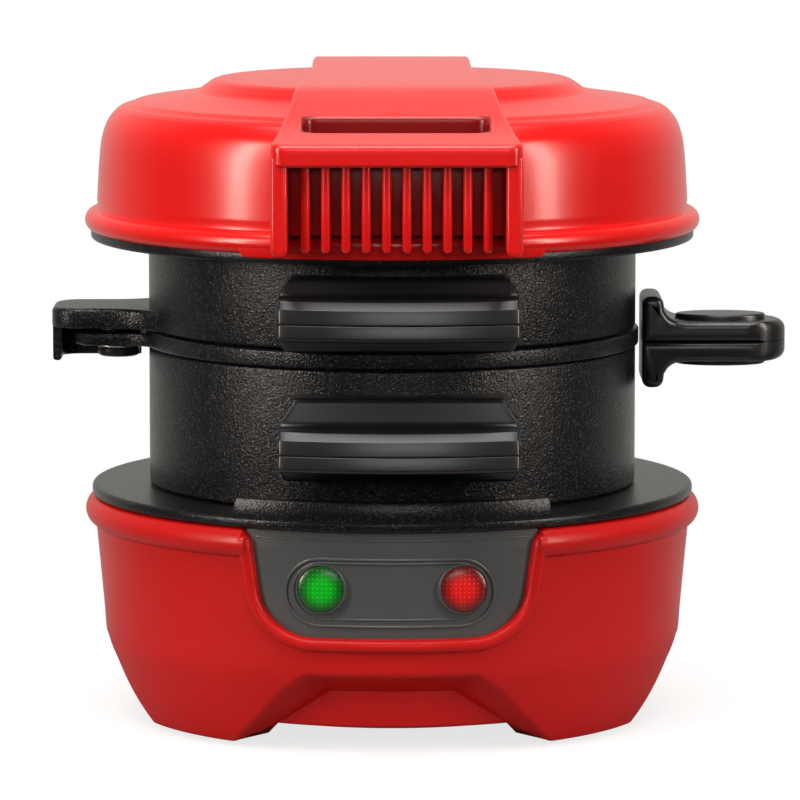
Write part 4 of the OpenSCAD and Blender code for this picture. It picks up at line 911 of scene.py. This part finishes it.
# Front grips
def grip_half(seam, up, rise, fall):
    """Half of a front grip: a side outline of flange and grip, carried across X; the front bows along a
    circle of radius 90."""
    if up:
        line = [(-50.5, 0.06), (-74.45, 0.06), (-73.8, 3.1), (-72.0, 4.9), (-60.4, 4.5), (-58.7, rise),
                (-50.5, rise)]
        radii = [0, 0.25, 0.3, 0.8, 1.8, 1.5, 0]
    else:
        line = [(-50.5, -fall), (-57.8, -fall), (-59.2, -3.4), (-73.6, -3.6), (-75.0, -3.2), (-74.45, -0.06),
                (-50.5, -0.06)]
        radii = [0, 0.9, 1.8, 0.5, 0.8, 0.25, 0]
    outline = wound(rounded([(y, seam + z) for y, z in line], radii, 5))
    x0, x1 = GRIP_X - GRIP_HALF, GRIP_X + GRIP_HALF
    levels = round_ended(x0, x1, 0.6, 0.9, np.linspace(x0 + 2, x1 - 2, 23), 5)
    rows = [np.c_[np.full(len(outline), x), grown(outline, -d)] for d, x in levels]
    bow_r, bow_start, bow_run = 90.0, -58.5, 14

    def corners(v):
        # the flange's far corners are cut back in a curve
        inset = np.clip((np.abs(v[:, 2] - seam) - 5.0) / 3.4, 0, 1) ** 1.6 * 2.9
        v[:, 0] = GRIP_X + (v[:, 0] - GRIP_X) * (1 - inset / GRIP_HALF)
        return v

    def bow(v):
        back = bow_r - np.sqrt(bow_r**2 - (v[:, 0] - GRIP_X) ** 2)
        v[:, 1] += back * np.clip((bow_start - v[:, 1]) / bow_run, 0, 1)
        # the flange's back follows the ring's wall
        keep = -np.sqrt(np.maximum((RING_R - 0.4) ** 2 - v[:, 0] ** 2, 0))
        v[:, 1] = np.where(v[:, 1] > -53, keep + 1.0, v[:, 1])
        return v

    return [warped(warped(tube(rows), bow), corners)]


for name, seam, rise, fall, body in (("lower_handle", LOWER_SEAM, 10.6, 7.3, "lower_ring_body"),
                                     ("upper_handle", UPPER_SEAM, 8.4, 7.4, "upper_ring_body")):
    for half in ("top", "bottom"):
        parts = grip_half(seam, half == "top", rise, fall)
        build(f"{name}_{half}_grip", body, parts, BLACK, [f"{name}_{half}"])


def side_grip(up):
    """Half of the right grip: its front outline has the flange, an S curve and the grip; the end is round
    seen from above, and the flange is wider than the grip."""
    k = 1 if up else -1
    s_curve = flowing([(59.8, 7.0), (60.8, 5.6), (62.4, 4.7), (65.0, 4.4)], 10)
    top = np.vstack([[(54.95, 0.06), (54.95, 8.3)], arc(56.7, 8.3, 1.75, 180, 90, 6),
                     arc(57.7, 8.1, 1.95, 90, 0, 6), s_curve,
                     [(80.0, 4.4)], arc(84.6, 2.2, 2.2, 90, 0, 6), [(86.8, 0.06)]])
    outline = wound(np.c_[top[:, 0], SIDE_SEAM + k * top[:, 1]])
    half = 9.0
    rows = []
    for d, y in round_ended(-half, half, 1.4, 1.7, np.linspace(-6.5, 6.5, 19), 6):
        o = grown(outline, -d)
        edge = SIDE_SEAM + k * 0.06
        o[:, 1] = np.maximum(o[:, 1], edge) if up else np.minimum(o[:, 1], edge)
        rows.append(np.c_[o[:, 0], np.full(len(o), y), o[:, 1]])

    def round_end(v):
        start = 77.8
        past = np.maximum(v[:, 0] - start, 0)
        v[:, 0] += past * (np.sqrt(np.maximum(1 - (v[:, 1] / half) ** 2, 0.0)) - 1)
        w = np.clip((64.0 - v[:, 0]) / 5.0, 0, 1)
        v[:, 1] *= 1 + 0.10 * w * w * (3 - 2 * w)
        return v

    ang = np.linspace(0, 2 * pi, 65)[:-1]
    oval = np.stack([72.5 + 9.9 * np.cos(ang), 5.9 * np.sin(ang)], -1)
    z = SIDE_SEAM + k * 4.3
    pad = upright(oval, z, z + 1.3, 0.5, 0) if up else upright(oval, z - 1.3, z, 0, 0.5)
    return [warped(tube(rows), round_end), pad]


for half in ("top", "bottom"):
    build(f"swing_handle_{half}_grip", "swing_plate_body", side_grip(half == "top"), BLACK,
          [f"swing_handle_{half}"])


# Lid
build("upper_plate_disc", "lid", [lathe(plate_profile(TOP_PLATE_Z), 240)], SMOOTH_COAT, ["upper_plate"])

DOME_STEP = [(65.35, 112.1), (64.95, 112.35), (64.85, 113.2)]
DOME_SKIN = flowing([(65.0, 114.0), (64.75, 118.5), (64.45, 123.0), (63.9, 127.6), (62.7, 131.2), (60.9, 133.6),
                     (59.4, 134.6), (58.2, 134.95), (57.2, 135.35), (55.8, 135.8), (50.0, 136.6), (44.8, 137.5),
                     (42.8, 138.0), (41.0, 139.2), (39.2, 140.3), (36.8, 140.7), (28.0, 140.95), (14.0, 141.05),
                     (0.0, 141.1)], 110)


def dome_z(r):
    """Height of the dome at a distance from the axis."""
    return np.interp(r, DOME_SKIN[::-1, 0], DOME_SKIN[::-1, 1])


def make_lid():
    """The dome with its bead, closed inside, and the low apron under the bead in front."""
    inside = (DOME_SKIN - [2.2, 2.0])[::-1]
    inside = inside[inside[:, 0] >= 0]
    profile = np.vstack([arc(65.35, 109.75, 2.35, -90, 90, 14), DOME_STEP, DOME_SKIN, [(0.0, 138.9)], inside[1:],
                         [(62.8, 108.6), (64.0, 107.4)]])

    def slot_cut(v):
        # where the finger slot is, the dome drops below the slot's floor
        floor = 121.5
        dx = np.maximum(np.abs(v[:, 0]) - SLOT_RUN - 0.2, 0)
        drop = (np.hypot(dx, v[:, 1] - SLOT_Y) < SLOT_R + 1.4) & (v[:, 2] > floor)
        v[drop, 2] = floor
        return v

    shell = warped(lathe(profile, 360), slot_cut)
    loops = []
    for r, z, half in ((64.8, 110.5, 33.4), (64.8, 106.9, 31.6), (66.9, 106.8, 31.5), (67.3, 107.0, 31.6),
                       (67.5, 107.5, 31.9), (67.5, 109.6, 33.1), (66.5, 110.5, 33.4)):
        h = asin(half / 67.5)
        a = np.linspace(-h, h, 61)
        loops.append(np.stack([r * np.sin(a), -r * np.cos(a), np.full(61, z)], -1))
    return [shell, tube(np.stack(loops, 1))]


build("lid_shell_red", "lid", make_lid(), RED, ["lid_shell"])
def make_hinge_arm():
    """The lid's hinge arm: a pad on the back of the dome, an arm that drops from it, and the barrel."""
    pad = rounded([(-15, 111.6), (15, 111.6), (15, 126.0), (-15, 126.0)], 2.6, 6)
    line = rounded([(64, 113), (68.4, 113), (70, 110), (70, HINGE_Z), (77, HINGE_Z), (77, 122), (73.5, 126),
                    (64, 126)], [0, 1.5, 2.5, 0, 0, 3.0, 3.0, 0], 5)
    line = resample(wound(line), 110, True)
    barrel = resample(arc(HINGE_Y, HINGE_Z, 6.0, 0, 360, 49)[:-1], 60, True)
    return [frontal(pad, 62.4, 69.4, 0.1, 1.0), block(line, -7.0, 7.0, 0.8), block(barrel, -7.0, 7.0, 0.5)]


build("lid_hinge_arm_red", "lid", make_hinge_arm(), RED, ["lid_hinge_arm"])

SPINE = flowing([(-76.0, 131.6), (-66.0, 133.3), (-58.0, 135.1), (-51.0, 137.1), (-44.0, 139.2), (-37.0, 140.9),
                 (-28.0, 141.6), (-14.0, 142.3), (0.0, 142.9), (20.0, 143.5), (34.0, 143.0), (44.0, 141.2),
                 (52.0, 138.0), (58.0, 133.6), (62.0, 129.0), (64.6, 125.0)], 160)


def spine_z(y):
    """Height of the handle's top along its length."""
    return np.interp(y, SPINE[:, 0], SPINE[:, 1])


def lean(v):
    """The handle's front stands a little to the right: x moves by 1.0 at the front edge and 0 at the axis."""
    v[:, 0] += np.clip(-v[:, 1] / 76.0, -0.2, 1.0) * 1.0
    return v


def make_handle():
    """The spine, as loops from the slot outwards: slot wall, slot edge, top, outer edge, side and underside.
    Each line runs from the slot's middle through both outlines."""
    outer = rounded([(-26.7, -76.0), (26.7, -76.0), (22.3, -46.0), (19.6, -20.0), (17.6, 2.0), (17.4, 63.5),
                     (-17.4, 63.5), (-17.6, 2.0), (-19.6, -20.0), (-22.3, -46.0)],
                    [3.0, 3.0, 30.0, 30.0, 30.0, 5.0, 5.0, 30.0, 30.0, 30.0], 8)
    n = 420
    outer = resample(outer, n, True)
    mid = np.array([0.0, SLOT_Y])
    ray = outer - mid
    ray /= np.linalg.norm(ray, axis=1)[:, None]

    def slot_at(w):
        # where each line meets a rounded rectangle of half width w, with corners of radius w - 1.9
        rx, ry = np.maximum(np.abs(ray), 1e-9).T
        r = w - 1.9
        cx, cy = w + SLOT_RUN - r, w - r
        b = rx * cx + ry * cy
        corner = b + np.sqrt(np.maximum(b**2 - cx**2 - cy**2 + r**2, 0))
        flat, end = w / ry, (w + SLOT_RUN) / rx
        hit = np.where(flat * rx <= cx, flat, np.where(end * ry <= cy, end, corner))
        return mid + ray * hit[:, None]

    def level(p, drop=0.0):
        return np.c_[p, spine_z(p[:, 1]) - drop]

    slot = slot_at(SLOT_R)
    rows = [np.c_[slot_at(w), np.full(n, z)] for w, z in ((SLOT_R - 0.9, 124.6), (SLOT_R - 0.2, 125.3))]
    for drop in (5.0, 3.0, 1.4, 0.9):
        rows.append(level(slot, drop))
    for t in np.linspace(0, pi / 2, 6)[1:]:
        rows.append(level(slot_at(SLOT_R + 0.9 * (1 - cos(t))), 0.9 * (1 - sin(t))))
    edge = grown(outer, -1.0)
    inner = slot_at(SLOT_R + 0.9)
    for t in np.r_[0.03, np.linspace(0.08, 0.97, 34)]:
        rows.append(level(inner * (1 - t) + edge * t))
    for t in np.linspace(0, pi / 2, 7):
        rows.append(level(grown(outer, -1.0 * (1 - sin(t))), 1.0 * (1 - cos(t))))
    radius = np.hypot(outer[:, 0], outer[:, 1])
    foot = np.where(radius > 64.2, 127.1, np.maximum(dome_z(radius) - 1.2, 124.0))
    side = level(outer, 1.0)
    for t in (0.33, 0.66):
        rows.append(np.c_[outer, side[:, 2] * (1 - t) + (foot + 0.5) * t])
    rows.append(np.c_[outer, np.minimum(foot + 0.5, side[:, 2] - 0.1)])
    rows.append(np.c_[grown(outer, -0.5), np.minimum(foot, side[:, 2] - 0.4)])
    under = grown(outer, -3.0)
    radius = np.hypot(under[:, 0], under[:, 1])
    rows.append(np.c_[under, np.where(radius > 63.0, 127.1, np.maximum(dome_z(radius) - 2.5, 123.6))])
    rows += [np.c_[slot_at(SLOT_R + 1.5), np.full(n, z)] for z in (126.0, 123.2)]
    parts = [warped(tube(rows), lean)]
    for s in (-1, 1):
        # a post: its front outline has a round foot, and its front face is slightly curved
        line = rounded([(22.7, 108.2), (26.25, 108.2), (26.25, 129.0), (22.7, 129.0)], [1.7, 1.7, 0, 0], 6)
        parts.append(warped(frontal(wound(line * [s, 1]), -75.1, -60.0, 0.3, 0.9), lean))
    return parts


build("lid_handle_red", "lid", make_handle(), HANDLE_RED, ["lid_handle"])


def make_fins():
    """Ten upright fins with round fronts and feet, on a back wall with a sill."""
    count, pitch, half = 10, 4.23, 0.95
    parts = []
    for k in range(count):
        x = (k - (count - 1) / 2) * pitch
        line = np.vstack([arc(x, -71.5, half, 180, 360, 8), [(x + half, -67.5), (x - half, -67.5)]])
        rows = []
        for d, z in ((0.9, 108.7), (0.55, 108.8), (0.25, 109.1), (0.0, 109.7), (0.0, 118.0), (0.0, 127.4)):
            rows.append(np.c_[grown(line, -d), np.full(len(line), z)])
        parts.append(tube(rows))
    wall = rounded([(-22.6, -69.0), (22.6, -69.0), (22.6, -66.4), (-22.6, -66.4)], 0.2, 2)
    return [warped(p, lean) for p in (*parts, upright(wall, 112.3, 127.4, 0.2))]


build("handle_fins_red", "lid", make_fins(), FIN_RED, ["handle_fins"])

# Frame nodes that are shown as they are
SHOWN = {
    RUBBER: ["rubber_feet", "cord_bushing"],
    BLACK: ["bottom_cover", "lamp_holder", "terminal_block", "thermostat"],
    GLASS: ["preheat_lamp", "power_lamp"],
    SHEATH: ["lower_element", "upper_element"],
    SHEET: ["lower_element_clamp", "upper_element_clamp", "lower_heat_shield", "upper_heat_shield"],
    SLEEVE: ["base_wiring", "lid_wiring"],
}
given = {n: f for f, names in SHOWN.items() for n in names}
for name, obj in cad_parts.items():
    finish = given.get(name, STEEL)
    if not obj.data.materials:
        obj.data.materials.append(None)
    for k in range(len(obj.data.materials)):
        obj.data.materials[k] = finish.material

# Floor, backdrop, light and camera
def plain_floor():
    """A pale floor: a matt surface that keeps the shadow, lifted for the camera's own rays, and clear
    outside an oval about the object."""
    f = Finish("pale floor", Specular_IOR_Level=0.2, Roughness=0.9)
    f.shade("Base Color", f.mix(f.noise(0.01, 1.0), (0.27, 0.27, 0.27), (0.28, 0.28, 0.28)))
    seen = f.node("ShaderNodeLightPath", {}, {}, "Is Camera Ray")
    f.shade("Emission Color", f.mix(seen, (0.0, 0.0, 0.0), (0.76, 0.76, 0.76)))
    f.shade("Emission Strength", 1.0)
    x, y = f.axis(0), f.axis(1) + 10.0
    f.shade("Alpha", (((x * x * 0.5) + (y * y)) ** 0.5).span(170.0, 100.0))
    mesh = bpy.data.meshes.new("floor")
    t = np.linspace(-3, 3, 9)
    v, faces = grid(np.stack(np.meshgrid(t, t, indexing="xy") + [np.zeros((9, 9))], -1))
    mesh.from_pydata(v.tolist(), [], faces)
    mesh.materials.append(f.material)
    obj = bpy.data.objects.new("floor", mesh)
    bpy.context.scene.collection.objects.link(obj)


def backdrop(front, behind):
    """The surroundings: white for the camera; for everything else dim in front and bright behind the
    object."""
    world = bpy.data.worlds.new("studio")
    bpy.context.scene.world = world
    world.use_nodes = True
    nodes, links = world.node_tree.nodes, world.node_tree.links
    nodes.clear()
    kinds = ("LightPath", "Background", "Background", "MixShader", "OutputWorld", "TexCoord", "SeparateXYZ",
             "MapRange")
    path, seen, other, mix, out, where, split, ramp = (nodes.new("ShaderNode" + kind) for kind in kinds)
    blend = nodes.new("ShaderNodeMix")
    blend.data_type = "RGBA"
    blend.inputs["A"].default_value, blend.inputs["B"].default_value = (*front, 1), (*behind, 1)
    ramp.interpolation_type = "SMOOTHSTEP"
    seen.inputs["Color"].default_value = (1, 1, 1, 1)
    pairs = ((where.outputs["Generated"], split.inputs[0]), (split.outputs["Y"], ramp.inputs["Value"]),
             (ramp.outputs["Result"], blend.inputs["Factor"]), (blend.outputs["Result"], other.inputs[0]),
             (path.outputs["Is Camera Ray"], mix.inputs[0]), (other.outputs[0], mix.inputs[1]),
             (seen.outputs[0], mix.inputs[2]), (mix.outputs[0], out.inputs[0]))
    for source, target in pairs:
        links.new(source, target)


def softbox(name, place, aim, size, watts, colour=(1, 1, 1)):
    """A rectangular light at a place, turned to its aim."""
    data = bpy.data.lights.new(name, "AREA")
    data.shape, data.size, data.size_y, data.energy, data.color = "RECTANGLE", *size, watts, colour
    obj = bpy.data.objects.new(name, data)
    obj.location = place
    obj.rotation_euler = (Vector(aim) - Vector(place)).to_track_quat("-Z", "Y").to_euler()
    bpy.context.scene.collection.objects.link(obj)


plain_floor()
backdrop((0.05, 0.05, 0.05), (0.60, 0.58, 0.54))
middle = (AXIS[0], AXIS[1], 0.07)
warm = (1.0, 0.90, 0.80)
softbox("left box", (-1.0, -0.57, 0.45), middle, (0.18, 0.8), 10.0, warm)
softbox("right box", (1.0, -0.57, 0.45), middle, (0.18, 0.8), 8.5, warm)
softbox("top box", (0.0, -0.10, 1.3), middle, (1.1, 0.8), 13.0)
softbox("strip box", (-0.12, -0.60, 1.10), middle, (0.8, 0.10), 4.5)
softbox("front box", (0.05, -1.50, 0.49), middle, (0.7, 0.28), 2.6)

scene = bpy.context.scene
scene.view_settings.view_transform = "Standard"
# The photograph is 800 pixels wide, and this is the distance of its picture plane in pixels
picture_width, picture_distance = 800, 5692
eye, target = Vector((0.0, -1.2511, 0.22668)), Vector((0.0017, -0.010, 0.07035))
lens = bpy.data.cameras.new("camera")
lens.sensor_width = 36.0
lens.lens = lens.sensor_width * picture_distance / picture_width
lens.clip_start, lens.clip_end = 0.05, 20.0
camera = bpy.data.objects.new("camera", lens)
camera.location = eye + Vector(AXIS)
camera.rotation_euler = (target - eye).to_track_quat("-Z", "Y").to_euler()
scene.collection.objects.link(camera)
scene.camera = camera
